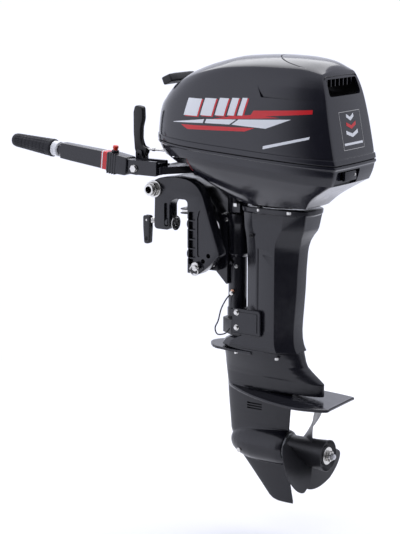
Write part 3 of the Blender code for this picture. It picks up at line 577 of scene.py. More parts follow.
def top_cowl():
    # The rim's band stands proud of the wall, with a rounded lower edge.
    rim = [(0.9, 0.6), (1.4, 1.5), (2.6, 2.0), (7, 2.0), (11.6, 2.0), (12.6, 1.6), (13.1, 0.4),
           (13.6, -0.5), (15, -0.4), (17, 0.0)]
    obj = piece("top_cowl_shell", cowl_skin(rim), "paint", 28)
    cut(obj, cowl_skin([(-6, -COWL_WALL), (17, -COWL_WALL)], -COWL_WALL, COWL_WALL))
    # Scooped panel behind the cap's shoulder line, on each side: deep at its lower front corner, running out
    # upwards and aft.
    for side in (-1, 1):
        rows = []
        for i in range(33):
            along = i / 32
            ring = []
            for j in range(13):
                up = j / 12
                x = 214 - 15 * up ** 0.7 + (148 + 15 * up ** 0.7) * along
                low = 250.5 - 5 * along
                z = low + (283 - low) * up
                depth = 5.4 * (1 - up) ** 1.5 * (1 - along) ** 0.8 + 0.9 * (1 - up) - 0.35
                ring.append((x, side * cowl_side(x, z, -depth), z))
            outer = [(p[0], side * (abs(p[1]) + 12), p[2]) for p in reversed(ring)]
            rows.append(ring + outer)
        cut(obj, loft(rows))
    # Air intake in the back, under the cap's lip.
    mouth = rounded([(-70, 254, 9), (70, 254, 9), (66, 291, 7), (-66, 291, 7)], 6)
    cut(obj, prism(mouth, 330, 400, "x"))
    slot = rounded([(-13, 253, 5), (13, 253, 5), (13, 277, 5), (-13, 277, 5)], 5)
    cut(obj, prism(slot, -120, -40, "x"))
    # The cap's front edge is a groove across the crown.
    front_edge = [(205 + 24 * (y / 52) ** 2, y) for y in np.linspace(0, -50, 12)]
    side_edge = [(240, -60), (256, -69), (276, -75), (298, -78), (320, -79.5), (336, -80)]
    line = smooth_path([(x, y, 0) for x, y in front_edge + side_edge], 3)
    for side in (-1, 1):
        groove = []
        for i, p in enumerate(line):
            ahead = (line[min(i + 1, len(line) - 1)] - line[max(i - 1, 0)]).normalized()
            across = Vector((-ahead.y, ahead.x, 0))
            z = RIDGE(p.x) - (RIDGE(p.x) - SHOULDER(p.x)) * abs(p.y / 90) ** 2.3
            ring = []
            for reach, high in ((-1.1, -3.0), (1.1, -3.0), (2.0, 5), (-2.0, 5)):
                q = p + across * reach
                ring.append((q.x, -side * q.y, z + high))
            groove.append(ring)
        cut(obj, loft(groove))
    mount(obj, "cowl", "top_cowl")


def decal(name, corners, look, lift=0.35, steps=(24, 6)):
    """A film on the top cowl's side: corners (x, z) run round from the lower front."""
    a, b, c, d = [Vector(p) for p in corners]
    rows = []
    for i in range(steps[0] + 1):
        u = i / steps[0]
        row = []
        for j in range(steps[1] + 1):
            v = j / steps[1]
            p = (a * (1 - u) + b * u) * (1 - v) + (d * (1 - u) + c * u) * v
            row.append(p)
        rows.append(row)
    for word, side in (("port", -1), ("starboard", 1)):
        bm = bmesh.new()
        grid = [[bm.verts.new((p.x, side * cowl_side(p.x, p.y, lift), p.y)) for p in row] for row in rows]
        for low, high in zip(grid, grid[1:]):
            for q in range(steps[1]):
                bm.faces.new((low[q], low[q + 1], high[q + 1], high[q]))
        obj = piece(f"{name}_{word}", bm, look)
        mount(obj, "cowl")


def trim_lines():
    decal("upper_bar", [(190, 207), (337, 219), (337, 228), (199, 221)], "film_red")
    decal("upper_bar_root", [(88, 196), (265, 208), (199, 212), (140, 205)], "film_red")
    decal("long_flash_tail", [(-25, 182.4), (66, 186), (70, 195), (-20, 184)], "film_white")
    decal("long_flash", [(72, 186.3), (138, 187), (156, 199), (76, 195.5)], "film_white")
    decal("long_flash_head", [(144, 187), (232, 183.4), (292, 206), (162, 199.6)], "film_white")
    decal("lower_bar", [(22, 169.5), (179, 174), (204, 183), (2, 179)], "film_red")
    # Slanted blocks of falling width above the bars, white with a red edge.
    start = 9.0
    for i, width in enumerate((40, 31, 24, 18, 13)):
        low, high = 200 + 0.053 * start, 239 + 0.053 * start
        lean = 10
        decal(f"block_{i + 1}_edge", [(start + 3, low - 2), (start + width + 4, low - 2),
                                      (start + width + 4 + lean, high - 1), (start + 3 + lean, high - 1)],
              "film_red", 0.3, (8, 8))
        decal(f"block_{i + 1}", [(start, low), (start + width, low), (start + width + lean, high),
                                 (start + lean, high)],
              "film_white", 0.5, (8, 8))
        start += width + 9
    decal("rear_dash", [(226, 138), (334, 165), (336, 171), (227, 145)], "film_white", 0.35, (24, 3))


def cowl_fittings():
    # Duct behind the intake, with fins that hang from its roof.
    back = []
    for x, half, low, high in ((348, 74, 250, 296), (322, 70, 249, 295), (300, 60, 252, 292),
                               (292, 50, 256, 288)):
        back.append([(x, y, z) for y, z in rounded([(-half, low, 9), (half, low, 9), (half - 4, high, 8),
                                                    (4 - half, high, 8)], 5)])
    bm = loft(back, caps=False)
    bm.faces.new([v for v in bm.verts][-len(back[-1]):])
    duct = piece("intake_duct", bm, "plastic")
    wall = duct.modifiers.new("wall", "SOLIDIFY")
    wall.thickness = 1.6 * MM
    wall.offset = 1
    bake(duct)
    mount(duct, "cowl")
    fins = bmesh.new()
    for y in (-54, -36, -18, 0, 18, 36, 54):
        part = block((326, y - 1.1, 274), (344, y + 1.1, 293.5))
        mesh = bpy.data.meshes.new("fin")
        part.to_mesh(mesh)
        part.free()
        fins.from_mesh(mesh)
        bpy.data.meshes.remove(mesh)
    mount(piece("intake_fins", fins, "paint"), "cowl")
    # Thin frame and three plain chevrons on the back.
    def stern(y, z, lift):
        share = (z - SEAM(380)) / (302 - SEAM(380))
        x0, half = float(STERN_X(share)), float(HALF_Y(share))
        return x0 - BACK_BOW * (y / half) ** 2 - CORNER * 0.04 + lift

    def stern_film(name, corners, look, lift):
        bm = bmesh.new()
        a, b, c, d = [Vector(p) for p in corners]
        grid = []
        for i in range(9):
            u = i / 8
            row = []
            for j in range(9):
                v = j / 8
                p = (a * (1 - u) + b * u) * (1 - v) + (d * (1 - u) + c * u) * v
                row.append(bm.verts.new((stern(p.x, p.y, lift), p.x, p.y)))
            grid.append(row)
        for low, high in zip(grid, grid[1:]):
            for q in range(8):
                bm.faces.new((low[q], high[q], high[q + 1], low[q + 1]))
        mount(piece(name, bm, look), "cowl")

    for i, (y0, z0, y1, z1) in enumerate(((-46, 137, 47, 138), (-46, 219, 47, 220), (-46, 137, -45, 220),
                                          (46, 137, 47, 220))):
        stern_film(f"badge_frame_{i + 1}", [(y0, z0), (y1, z0), (y1, z1), (y0, z1)], "zinc", 0.3)
    for i, z in enumerate((163, 181, 199)):
        reach = 26 - 5 * i
        for word, side in (("left", -1), ("right", 1)):
            edge = [(0, z), (side * reach, z + 8), (side * reach, z + 16), (0, z + 8)]
            stern_film(f"badge_chevron_{i + 1}_{word}", edge, "film_red" if i == 1 else "film_white", 0.4)
    stern_film("badge_line", [(-40, 147), (42, 147), (42, 152), (-40, 152)], "film_white", 0.35)


def starter():
    tilt = Matrix.Translation((-87, 0, 272)) @ Matrix.Rotation(math.radians(-24), 4, "Y")
    outline = rounded([(-15, -51, 6), (13, -51, 5), (17, -30, 30), (17, 30, 30), (13, 51, 5), (-15, 51, 6),
                       (-13, 24, 30), (-13, -24, 30)], 5)
    grip = piece("starter_grip", moved(prism(outline, -9.5, 9.5, "z"), tilt), "plastic", 30)
    soften(grip, 3.2, 3)
    for y in (-36, -26, 26, 36):
        cut(grip, moved(block((-24, y - 1.2, 8.2), (24, y + 1.2, 12)), tilt))
    mount(grip, "starter", "starter_handle")
    collar = turned([(0, -6), (7, -6), (8.5, -3), (8.5, 5), (6, 9), (0, 9)], (0, 0, 0), "x", 32)
    mount(piece("starter_collar", moved(collar, Matrix.Translation((-66, 0,
                                                                    265)) @ Matrix.Rotation(math.radians(8),
                                                                                            4, "Y")),
                                                                                            "plastic"),
                                                                                            "starter")
    points = [(-62 + 56 * i / 40, 0, 264 - 2 * i / 40) for i in range(41)]
    rings = []
    for i, (x, _, z) in enumerate(points):
        ring = []
        for k in range(24):
            angle = math.tau * k / 24
            radius = 2.4 + 0.22 * math.cos(3 * (angle - i * 0.5))
            ring.append((x, radius * math.cos(angle), z + radius * math.sin(angle)))
        rings.append(ring)
    rope = piece("starter_cord", loft(rings), "rope")
    mesh = rope.data
    mesh.shade_smooth()
    del rope["sharp"]
    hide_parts("starter_rope")
    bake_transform(rope)
    eyelet = turned([(3.4, -3), (8.5, -3), (9.5, -1.5), (9.5, 1), (5, 3), (3.4, 3)], (0, 0, 0), "x", 32)
    mount(piece("rope_guide", moved(eyelet, Matrix.Translation((-8, 0, 262))), "steel"), "motor")


# Bottom cowl


def bottom_cowl():
    crease = curve([(-130, 105.4), (400, 58.8)])
    front = curve([(0, -98), (0.22, -58), (0.456, -4), (0.73, 46), (1, 92)])
    rear = curve([(0, 380), (0.3, 352), (0.72, 315), (1, 298)])
    half = curve([(0, 122), (0.3, 106), (0.65, 84), (1, 60)])
    count = 120
    rows = []
    for w, out in ((0.0, 0.0), (0.012, 1.2), (0.05, 1.8), (0.12, 1.8), (0.15, 1.0), (0.17, 0.0)):
        x, y = half_plan(-115.5 - out, 392 + out, 129.6 + out, 2.55, 3.2, count, WIDEST, STERN_RUN)
        rows.append((x, y, SEAM(x) - 0.9 - (SEAM(x) - crease(x)) * w))
    for w in np.linspace(0.22, 1, 10):
        bulge = 2.0 * math.sin(math.pi * w)
        x, y = half_plan(-115.5 + 17 * w - bulge, 392 - 12 * w + bulge, 129.6 - 7.6 * w + bulge, 2.55, 3.2,
                         count, WIDEST, STERN_RUN)
        rows.append((x, y, SEAM(x) - 0.9 - (SEAM(x) - 0.9 - crease(x)) * w))
    for g in np.linspace(0.06, 1, 18):
        x, y = half_plan(front(g), rear(g), half(g), 2.55, 3.2, count, WIDEST, STERN_RUN)
        rows.append((x, y, crease(x) * (1 - g) ** 1.0))
    bm = loft([both_sides(*row) for row in rows])
    obj = piece("bottom_cowl_shell", bm, "paint", 24)
    room = []
    for z, a, b, c in ((6, 119, 296, 54), (24, 119, 318, 70), (26, 88, 320, 72), (58, 88, 354, 96),
                       (84, 88, 372, 111), (170, 88, 384, 121)):
        x, y = half_plan(a, b, c, 6, 3.2, 60)
        room.append(both_sides(x, y, np.full(60, z)))
    cut(obj, loft(room))
    room = []
    for z, a, c in ((90, -82, 106), (170, -104, 121)):
        x, y = half_plan(a, 200, c, 2.6, 4.0, 60, 0.66)
        room.append(both_sides(x, y, np.full(60, z)))
    cut(obj, loft(room))
    tunnel = [(-140, -20), (113.5, -20), (113.5, 21), (89, 21), (42, 46), (2, 80), (-140, 80)]
    cut(obj, prism(tunnel, -46, 46))
    for side in (-1, 1):
        notch = [(-140, side * 44), (-4, side * 44), (16, side * 72), (16, side * 140), (-140, side * 140)]
        cut(obj, prism(notch, -10, 80, "z"))
        recess = [(-140, side * 62), (4, side * 62), (15, side * 72), (15, side * 141), (-140, side * 141)]
        cut(obj, prism(recess, 70, 101, "z"))
    cut(obj, rod(20, -20, 20, (DRIVE_X, 0, 0)), rod(19, -20, 20, (196, 0, 0)))
    cut(obj, rod(5, -140, -60, (0, 26, 106), "x"),
        rod(5, -140, -60, (0, LEVER_PIVOT[1], LEVER_PIVOT[2] + 12), "x"))
    pocket = rounded([(-80, 61, 5), (19, 61, 5), (19, 93, 5), (-80, 93, 5)], 5)
    cut(obj, prism(pocket, 373, 420, "x"))
    mount(obj, "motor", "bottom_cowl")
    # Seal between the cowls.
    rows = []
    for height, out in ((-4, -4), (-4, -1.6), (4, -1.6), (4, -4)):
        x, y = cowl_plan(0, out, 100)
        rows.append(both_sides(x, y, SEAM(x) + height))
    mount(piece("cowl_seal", loft(rows, closed=True), "dark"), "motor")
    # A dark red line down the edge of each front recess.
    for word, side in (("port", -1), ("starboard", 1)):
        bm = bmesh.new()
        skin = []
        for reach in (0.0, 1.0):
            line = []
            for j in range(9):
                z = 100.6 - 30 * j / 8
                x = 15.2 + reach * (2.5 + 4.5 * j / 8)
                w = (SEAM(x) - 0.9 - z) / (SEAM(x) - 0.9 - crease(x))
                if w < 1:
                    bulge = 2.0 * math.sin(math.pi * w)
                    a, b, c = -115.5 + 17 * w - bulge, 392 - 12 * w + bulge, 129.6 - 7.6 * w + bulge
                else:
                    g = 1 - z / crease(x)
                    a, b, c = float(front(g)), float(rear(g)), float(half(g))
                y = side_half(x, a, b, c, 2.55, 3.2)
                line.append(bm.verts.new((x, side * (y + 0.35), z)))
            skin.append(line)
        for q in range(8):
            bm.faces.new((skin[0][q], skin[0][q + 1], skin[1][q + 1], skin[1][q]))
        mount(piece(f"recess_edge_{word}", bm, "maroon"), "motor")


def latch():
    plate = piece("latch_plate", prism(rounded([(-38, 68, 3), (14, 68, 3), (14, 89, 3), (-38, 89, 3)], 4),
                                       376, 384.5, "x"), "paint")
    soften(plate, 1.2, 2)
    join(plate, rod(2.2, -40, 16, (380, 0, 87), "y"))
    mount(plate, "latch", "cowl_latch")
    mount(piece("latch_screw", rod(3.2, 384.2, 386, (0, 6, 80), "x", 0.6, 24), "zinc"), "latch")


# Clamp, swivel and steering


def melt(obj, size, rounds):
    """Rounds every edge and fills every inside corner a little, as a casting has."""
    remesh = obj.modifiers.new("remesh", "REMESH")
    remesh.mode = "VOXEL"
    remesh.voxel_size = size * MM
    smooth = obj.modifiers.new("smooth", "SMOOTH")
    smooth.factor = 0.5
    smooth.iterations = rounds
    return bake(obj)


def clamp_brackets():
    outline = arc(TILT, 18, 270, 112, 20)
    crest = [(-99.7, 35.7, 0), (-78, 46, 0), (-48, 50.5, 0), (-20, 49.5, 0), (6, 45, 0), (27, 33, 0),
             (41, 15, 0), (50, -8, 0),
             (62, -43, 0), (76, -82, 0), (88, -116, 0)]
    outline += [(p.x, p.y) for p in smooth_path(crest, 4)[1:]]
    outline += arc((79, -120), 9, 10, -70, 5) + arc(TILT, 228, -46.5, -57, 8)
    outline += [(0, -172), (0, -138)] + arc((14, -126), 16, 222, 138, 6) + [(0, -111), (0, -68)]
    outline += arc((14, -56), 16, 222, 138, 6) + [(0, -42), (0, -14)] + arc((-9, -9), 9, 0, 90, 5)
    outline += arc((-30, -20), 20, 90, 180, 10) + arc((-60, -66), 10, 0, -90, 6) + arc((-86, -67), 9, -90,
                                                                                       -180, 6)
    pocket = rounded([(30, -30, 10), (44, -42, 12), (66, -104, 10), (44, -124, 8), (18, -132, 8),
                      (17, -42, 8)], 6)
    front = rounded([(-80, 30, 8), (-24, 34, 14), (8, 24, 14), (18, 4, 10), (2, 10, 12), (-44, 12, 8),
                     (-74, 10, 8)], 6)
    for word, side in (("port", -1), ("starboard", 1)):
        low, high = sorted((side * 62, side * 93))
        obj = piece(f"clamp_arm_{word}", prism(outline, low, high), "cast_paint", 30)
        soften(obj, 3.5, 3, 40)
        cut(obj, prism(pocket, *sorted((side * 60, side * 83))),
            prism(front, *sorted((side * 60, side * 86))))
        shallow = rounded([(34, -18, 12), (48, -30, 12), (74, -108, 8), (50, -124, 8), (28, -134, 6),
                           (28, -40, 6)], 6)
        channel = rounded([(4, -26, 5), (23, -26, 5), (23, -152, 5), (4, -152, 5)], 5)
        relief = rounded([(-66, -12, 5), (-54, -12, 5), (-54, -68, 5), (-66, -68, 5)], 5)
        cut(obj, prism(shallow, *sorted((side * 90.5, side * 99))),
            prism(channel, *sorted((side * 84, side * 99))),
            prism(relief, *sorted((side * 87, side * 99))))
        for z in (-48, -70, -92, -114, -136):
            join(obj, block((2, min(side * 83, side * 91.5), z - 1.3),
                            (25, max(side * 83, side * 91.5), z + 1.3)))
        join(obj, rod(18.5, *sorted((side * 61, side * 92.6)), (TILT[0], 0, TILT[1]), "y", 1.5, 48))
        join(obj, rod(14, -97, -56, (0, side * SCREW_Y, SCREW_Z), "x", 2.0, 40))
        cut(obj, rod(13.3, -110, 110, (TILT[0], 0, TILT[1]), "y"))
        cut(obj, rod(7.4, -120, -40, (0, side * SCREW_Y, SCREW_Z), "x"))
        for i in range(3):
            angle = PIN_ANGLE + math.radians(5.6 * i)
            hole = (TILT[0] + PIN_HOLE_R * math.cos(angle), 0, TILT[1] + PIN_HOLE_R * math.sin(angle))
            cut(obj, rod(5.6, -110, 110, hole, "y", 0, 24))
        mount(obj, "transom_clamp", f"clamp_bracket_{word}")


def tilt_hardware():
    centre = (TILT[0], 0, TILT[1])
    profile = [(8.6, -118), (11.9, -118), (12.8, -117), (12.8, 117), (11.9, 118), (8.6, 118)]
    mount(piece("tilt_axle", turned(profile, centre, "y", 48), "zinc"), "transom_clamp", "tilt_tube")
    for word, side in (("port", -1), ("starboard", 1)):
        nut = piece(f"tilt_ring_{word}", turned([(13.1, side * 98), (17.6, side * 98), (17.6, side * 109),
                                                 (16.6, side * 110), (13.1, side * 110)],
                                                  centre, "y", 48), "zinc")
        flats = turned([(17.3, side * 97.4), (22, side * 97.4), (22, side * 112), (17.3, side * 112)],
                       centre, "y", 6)
        cut(nut, flats)
        join(nut, turned([(13.1, side * 93.4), (20.4, side * 93.4), (20.4, side * 97.4),
                          (13.1, side * 97.4)], centre, "y", 48))
        soften(nut, 0.5, 2)
        mount(nut, "transom_clamp", f"tilt_nut_{word}")
    pin = piece("rest_rod", rod(4.9, -108, 104, (PIN_X, 0, PIN_Z), "y", 1.0, 32), "zinc")
    join(pin, rod(10.5, -104, -98, (PIN_X, 0, PIN_Z), "y", 1.2, 40))
    mount(pin, "rest_pin", "tilt_pin")
    loop = [(PIN_X + a, -106 - b * 0.2, PIN_Z - 9 + b) for a, b in arc((0, 0), 11, -165, 165, 24)]
    mount(piece("rest_rod_clip", bent_tube(loop, 1.7, 12), "zinc"), "rest_pin")


def thread(radius, depth, pitch, low, high, centre, sides=36):
    """A screw thread along X as one skin."""
    rings = []
    steps = int((high - low) / pitch * 8)
    for i in range(steps + 1):
        x = low + (high - low) * i / steps
        ring = []
        for k in range(sides):
            angle = math.tau * k / sides
            wave = abs(((x - low) / pitch + k / sides) % 1 - 0.5) * 2
            fade = min(1, (x - low) / 2, (high - x) / 2)
            r = radius - depth * wave * max(fade, 0)
            ring.append((x + centre[0], centre[1] + r * math.cos(angle), centre[2] + r * math.sin(angle)))
        rings.append(ring)
    return loft(rings)


def clamp_screws():
    for word, side in (("port", -1), ("starboard", 1)):
        y = side * SCREW_Y
        pose = Matrix.Translation((0, y, SCREW_Z))
        if side > 0:
            pose = pose @ Matrix.Rotation(math.pi / 2, 4, "X")
        shaft = piece(f"screw_{word}_body", thread(6.9, 0.8, 3.0, -109, -54, (0, y, SCREW_Z)), "zinc", 50)
        join(shaft, rod(4.4, -56, -46.5, (0, y, SCREW_Z), "x", 0.5, 24))
        eye = rounded([(-132, -6, 5.5), (-106, -6, 2), (-106, 6, 2), (-132, 6, 5.5)], 6)
        join(shaft, moved(prism(eye, -3.4, 3.4), pose),
             moved(rod(3.0, -6.9, 6.9, (-124, 0, 0), "y", 0.6, 24), pose))
        mount(shaft, f"screw_{word}", f"clamp_screw_{word}")
        profile = [(5.0, -49.5), (8.6, -49.5), (9.5, -48.6), (9.8, -46), (13, -45.4), (17, -43.8),
                   (17.5, -42.8), (17.2, -41.5), (14, -41.5),
                   (13.2, -42.1), (6, -42.1), (5.2, -41.5), (0, -41.5), (0, -46), (5.0, -46)]
        pad = turned(profile, (0, y, SCREW_Z), "x", 48)
        mount(piece(f"pad_{word}_cup", pad, "zinc"), f"pad_{word}", f"clamp_pad_{word}")
        paddle = rounded([(-134, 11, 6), (-114, 11, 6), (-114, -18, 20), (-116.5, -57, 6), (-131.5, -57, 6),
                          (-134, -18, 20)], 7)
        handle = piece(f"paddle_{word}", moved(prism(paddle, -7, 7), pose), "satin", 30)
        soften(handle, 1.6, 3)
        cut(handle, moved(block((-142, -3.8, -16.5), (-106, 3.8, 20)), pose))
        cut(handle, moved(rod(3.1, -20, 20, (-124, 0, 0), "y", 0, 24), pose))
        hole = rounded([(-127.6, -38, 3.6), (-120.4, -38, 3.6), (-120.4, -51, 3.6), (-127.6, -51, 3.6)], 6)
        cut(handle, moved(prism(hole, -20, 20), pose))
        mount(handle, f"handle_{word}", f"clamp_handle_{word}")


def swivel():
    web = rounded([(-93, 41, 20), (-40, 38, 30), (10, 22, 30), (42, -12, 20), (52, -37, 6), (70, -37, 3),
                   (70, -205, 3), (36, -172, 16),
                   (36, -138, 20), (52, -118, 20), (46, -62, 40), (12, -12, 30), (-18, 5, 30),
                   (-93, 0, 20)], 6)
    obj = piece("swivel_casting", prism(web, -29, 29), "cast_paint", 32)
    cut(obj, prism(rounded([(-70, 31, 8), (-38, 28, 10), (4, 14, 16), (38, -24, 10), (36, -34, 6),
                            (10, 0, 16), (-20, 14, 10), (-70, 14, 8)], 5), 12, 40),
        prism(rounded([(-70, 31, 8), (-38, 28, 10), (4, 14, 16), (38, -24, 10), (36, -34, 6), (10, 0, 16),
                       (-20, 14, 10), (-70, 14, 8)], 5), -40, -12))
    soften(obj, 3, 3)
    join(obj, rod(21, -57, 57, (TILT[0], 0, TILT[1]), "y", 2))
    barrel = [(0, -281), (22.5, -281), (24.2, -279), (24.2, -262), (22, -259), (22, -137), (24.4, -134),
              (28, -129), (28, -124), (26.8, -122),
              (26.8, -62), (28, -59), (28, -37), (26.5, -34.5), (0, -34.5)]
    join(obj, turned(barrel, (STEER_X, 0, 0), "z", 64))
    foot = rounded([(33.4, -168, 2), (58, -168, 4), (58, -142, 4), (33.4, -142, 2)], 4)
    join(obj, prism(foot, -52, 52))
    for side in (-1, 1):
        join(obj, rod(4.2, *sorted((side * 22, side * 31)), (STEER_X, 0, -150), "y", 0.8, 20))
    cut(obj, rod(13.3, -80, 80, (TILT[0], 0, TILT[1]), "y"))
    cut(obj, rod(17.5, -300, -10, (STEER_X, 0, 0)))
    soften(obj, 1.0, 2, 40)
    mount(obj, "swivel", "swivel_bracket")
    mount(piece("barrel_screw", rod(4.8, -30, -20, (66, 0, -48), "y", 1.0, 24), "zinc"), "swivel")
    mount(piece("foot_screw", rod(4, -54, -48, (46, 0, -155), "y", 0.8, 24), "zinc"), "swivel")
    terminal = rod(5.2, -26.2, -21, (82, 0, -218), "y", 0.8, 6)
    mount(piece("lead_terminal", terminal, "brass"), "swivel")
    for z in (-158, -272):
        nipple = turned([(0, 22), (4, 22), (4, 27), (2.2, 28), (2.2, 31), (0, 31)], (0, 0, 0), "y", 16)
        tip = moved(nipple, Matrix.Translation((STEER_X, 0, z)) @ Matrix.Rotation(math.radians(205), 4, "Z"))
        mount(piece(f"grease_nipple_{-z}", tip, "zinc"), "swivel")


def steering():
    obj = piece("steering_casting", rod(24, -33.5, 12, (STEER_X, 0, 0), "z", 2), "cast_paint", 32)
    neck = rounded([(96, -26, 4), (96, 12, 8), (40, 40, 30), (-4, 74, 20), (-84, 74, 3), (-84, 56, 3),
                    (-6, 56, 20), (30, 26, 20), (64, 2, 10),
                    (64, -26, 4)], 6)
    body = piece("neck", prism(neck, -20, 20), "dark")
    soften(body, 3, 2)
    bm = bmesh.new()
    bm.from_mesh(body.data)
    bm.transform(Matrix.Diagonal((1000, 1000, 1000, 1)))
    bpy.data.objects.remove(body)
    join(obj, bm)
    arm = rounded([(-84, -111, 4), (-62, -111, 8), (-8, -34, 10), (-8, 24, 8), (-84, 24, 4)], 5)
    join(obj, prism(arm, 56.5, 73.5, "z"))
    x, y, z = TILLER_HINGE
    for low, high in ((y - 24, y - 15.5), (y + 15.5, y + 24)):
        ear = rounded([(x - 15, z - 14, 10), (-70, z - 14, 3), (-70, z + 20, 3), (x - 15, z + 20, 14)], 6)
        join(obj, prism(ear, low, high))
    join(obj, block((-104, y - 20, z - 13), (-72, y + 20, z + 14)))
    a, b, c = LEVER_PIVOT
    join(obj, block((a - 12, -69, 57.5), (-76, -55, 76)))
    for low, high in ((-75.6, -70), (-54, -48.4)):
        cheek = rounded([(a - 9, 58, 2), (a + 9, 58, 2), (a + 9, c + 11, 8), (a - 9, c + 11, 8)], 5)
        join(obj, prism(cheek, low, high))
    join(obj, block((a - 8, -75.6, 58), (a + 8, -47, 70)))
    join(obj, block((90, -40, -26), (111, 40, -6)))
    cut(obj, rod(17.2, -60, 0, (STEER_X, 0, 0)), rod(5.3, -40, 40, (x, y, z), "y", 0, 32))
    soften(obj, 1.5, 2, 40)
    join(obj, rod(3.3, b - 13.6, b + 13.6, (a, 0, c), "y", 0.6, 24))
    mount(obj, "motor", "steering_bracket")
    for side in (-1, 1):
        bolt = rod(8.5, -13, -4.5, (100, side * 36, 0), "z", 1.0, 6)
        mount(piece(f"mount_bolt_{'port' if side < 0 else 'starboard'}", bolt, "zinc"), "motor")


def lower_mount():
    yoke = rounded([(56, -26, 4), (70, -34, 8), (92, -46, 6), (117, -46, 3), (117, 46, 3), (92, 46, 6),
                    (70, 34, 8), (56, 26, 4)], 4)
    obj = piece("lower_yoke", prism(yoke, -318, -283, "z"), "satin", 32)
    cut(obj, rod(17.2, -330, -270, (STEER_X, 0, 0)))
    soften(obj, 2, 2)
    mount(obj, "motor", "lower_mount_bracket")
    for word, side in (("port", -1), ("starboard", 1)):
        low, high = sorted((side * 47.6, side * 54.4))
        plate = rounded([(101, -312, 5), (174, -312, 4), (178, -307, 4), (178, -255, 4), (173, -250, 4),
                         (101, -250, 5)], 5)
        cover = piece(f"mount_cover_{word}", prism(plate, low, high), "cast_paint", 32)
        soften(cover, 1.4, 2)
        rim = rounded([(90, -309, 2), (174, -309, 3), (174, -253, 3), (90, -253, 2)], 5)
        groove = rounded([(101.2, -304, 2), (168, -304, 2), (168, -258, 2), (101.2, -258, 2)], 5)
        cut(cover, prism(rim, *sorted((side * 52.9, side * 60))))
        join(cover, prism(groove, *sorted((side * 50, side * 54.6))))
        for z in (-296, -260):
            cut(cover, rod(7.4, *sorted((side * 52.6, side * 60)), (112, 0, z), "y", 0, 32))
        mount(cover, "motor", f"lower_mount_cover_{word}")
        for i, z in enumerate((-296, -260)):
            head = piece(f"mount_cover_bolt_{i + 1}_{word}",
                         rod(5.4, *sorted((side * 53, side * 58.8)), (112, 0, z), "y", 0.8, 6), "zinc")
            join(head, rod(6.9, *sorted((side * 52.5, side * 54)), (112, 0, z), "y", 0, 32))
            mount(head, "motor")


# Leg and lower unit


def leg_section(z, front, rear, half, back_half, shoulder, heel, radius=4.0):
    """Faceted section: a blunt nose, straight sides and two facets that close in on a flat back."""
    right = [(front, half * 0.46), (front + 8, half * 0.74), (shoulder, half), (heel, half),
             (rear, back_half)]
    corners = [(x, y, radius) for x, y in right] + [(x, -y, radius) for x, y in reversed(right)]
    return [(x, y, z) for x, y in rounded(corners, 4)]


def leg():
    rows = [
        (-19.4, 112, 286, 50, 40, 150, 236), (-54, 114, 280, 49.5, 36, 152, 230),
        (-62, 115, 277, 49, 35, 154, 226),
        (-72, 117, 271, 48.5, 30, 156, 220), (-84, 119, 266, 48, 24, 158, 214),
        (-98, 120, 262, 47.5, 22, 159, 211),
        (-112, 121, 260, 47, 21, 160, 210), (-150, 122, 257, 46.8, 21, 160, 210),
        (-200, 122, 255, 46.6, 21, 160, 210),
        (-240, 122, 252, 46.3, 21, 160, 210), (-276, 121, 249, 46, 21, 158, 210),
        (-296, 116, 248, 46, 21, 150, 210),
        (-308, 106, 248.5, 46, 21, 136, 210), (-318, 90, 249, 46, 21.5, 116, 210),
        (-326, 72, 250.5, 46, 22, 100, 211),
        (-332, 62, 252, 46, 22, 92, 212), (-338, 57, 254.5, 46, 22, 88, 214),
        (-345.7, 53, 258.5, 46, 22, 86, 216),
    ]
    obj = piece("leg_casting", loft([leg_section(*row) for row in rows]), "cast_paint", 26)
    apron = []
    for z, a, b, c in ((-22, 116, 293, 52), (-18, 114.5, 297, 55.5), (-10, 113.5, 298, 56.5),
                       (-8, 114.5, 297, 55.5)):
        x, y = half_plan(a, b, c, 5, 3, 40, 0.5)
        apron.append(both_sides(x, y, np.full(40, z)))
    join(obj, loft(apron))
    inside = [(-360, 84, 240, 34), (-330, 96, 240, 34), (-312, 130, 236, 32), (-90, 130, 236, 32),
              (0, 130, 250, 36)]
    rings = []
    for z, a, b, c in inside:
        x, y = half_plan(a, b, c, 4.5, 2.2, 40, 0.5)
        rings.append(both_sides(x, y, np.full(40, z)))
    cut(obj, loft(rings))
    for side in (-1, 1):
        # A shallow panel groove down each side; after it, a short shallow slot in each side.
        low, high = sorted((side * 45.6, side * 60))
        cut(obj, prism(rounded([(166, -300, 2), (168, -300, 2), (168, -104, 2), (166, -104, 2)], 2), low,
                       high))
    cut(obj, block((180, -56, -120), (205, -46.4, -117)), block((180, 46.4, -120), (205, 56, -117)))
    modifier = obj.modifiers.new("bevel", "BEVEL")
    modifier.width = 1.2 * MM
    modifier.segments = 2
    modifier.limit_method = "ANGLE"
    modifier.angle_limit = math.radians(45)
    bake(obj)
    mount(obj, "motor", "driveshaft_housing")
    for word, side in (("port", -1), ("starboard", 1)):
        for i, (x, radius) in enumerate(((171, 3.6), (252, 5.6))):
            bolt = rod(radius, -15.5, -8.6, (x, side * 55.2, 0), "z", 0.8, 6)
            mount(piece(f"leg_bolt_{i + 1}_{word}", bolt, "zinc"), "motor")
    # Tell-tale outlet, high on the port side
    outlet = turned([(0, -50), (5.5, -50), (5.5, -52), (3, -53), (3, -58), (1.6, -58), (1.6, -50.5),
                     (0, -50.5)], (150, 0, -74), "y", 24)
    mount(piece("water_outlet", outlet, "plastic"), "motor")


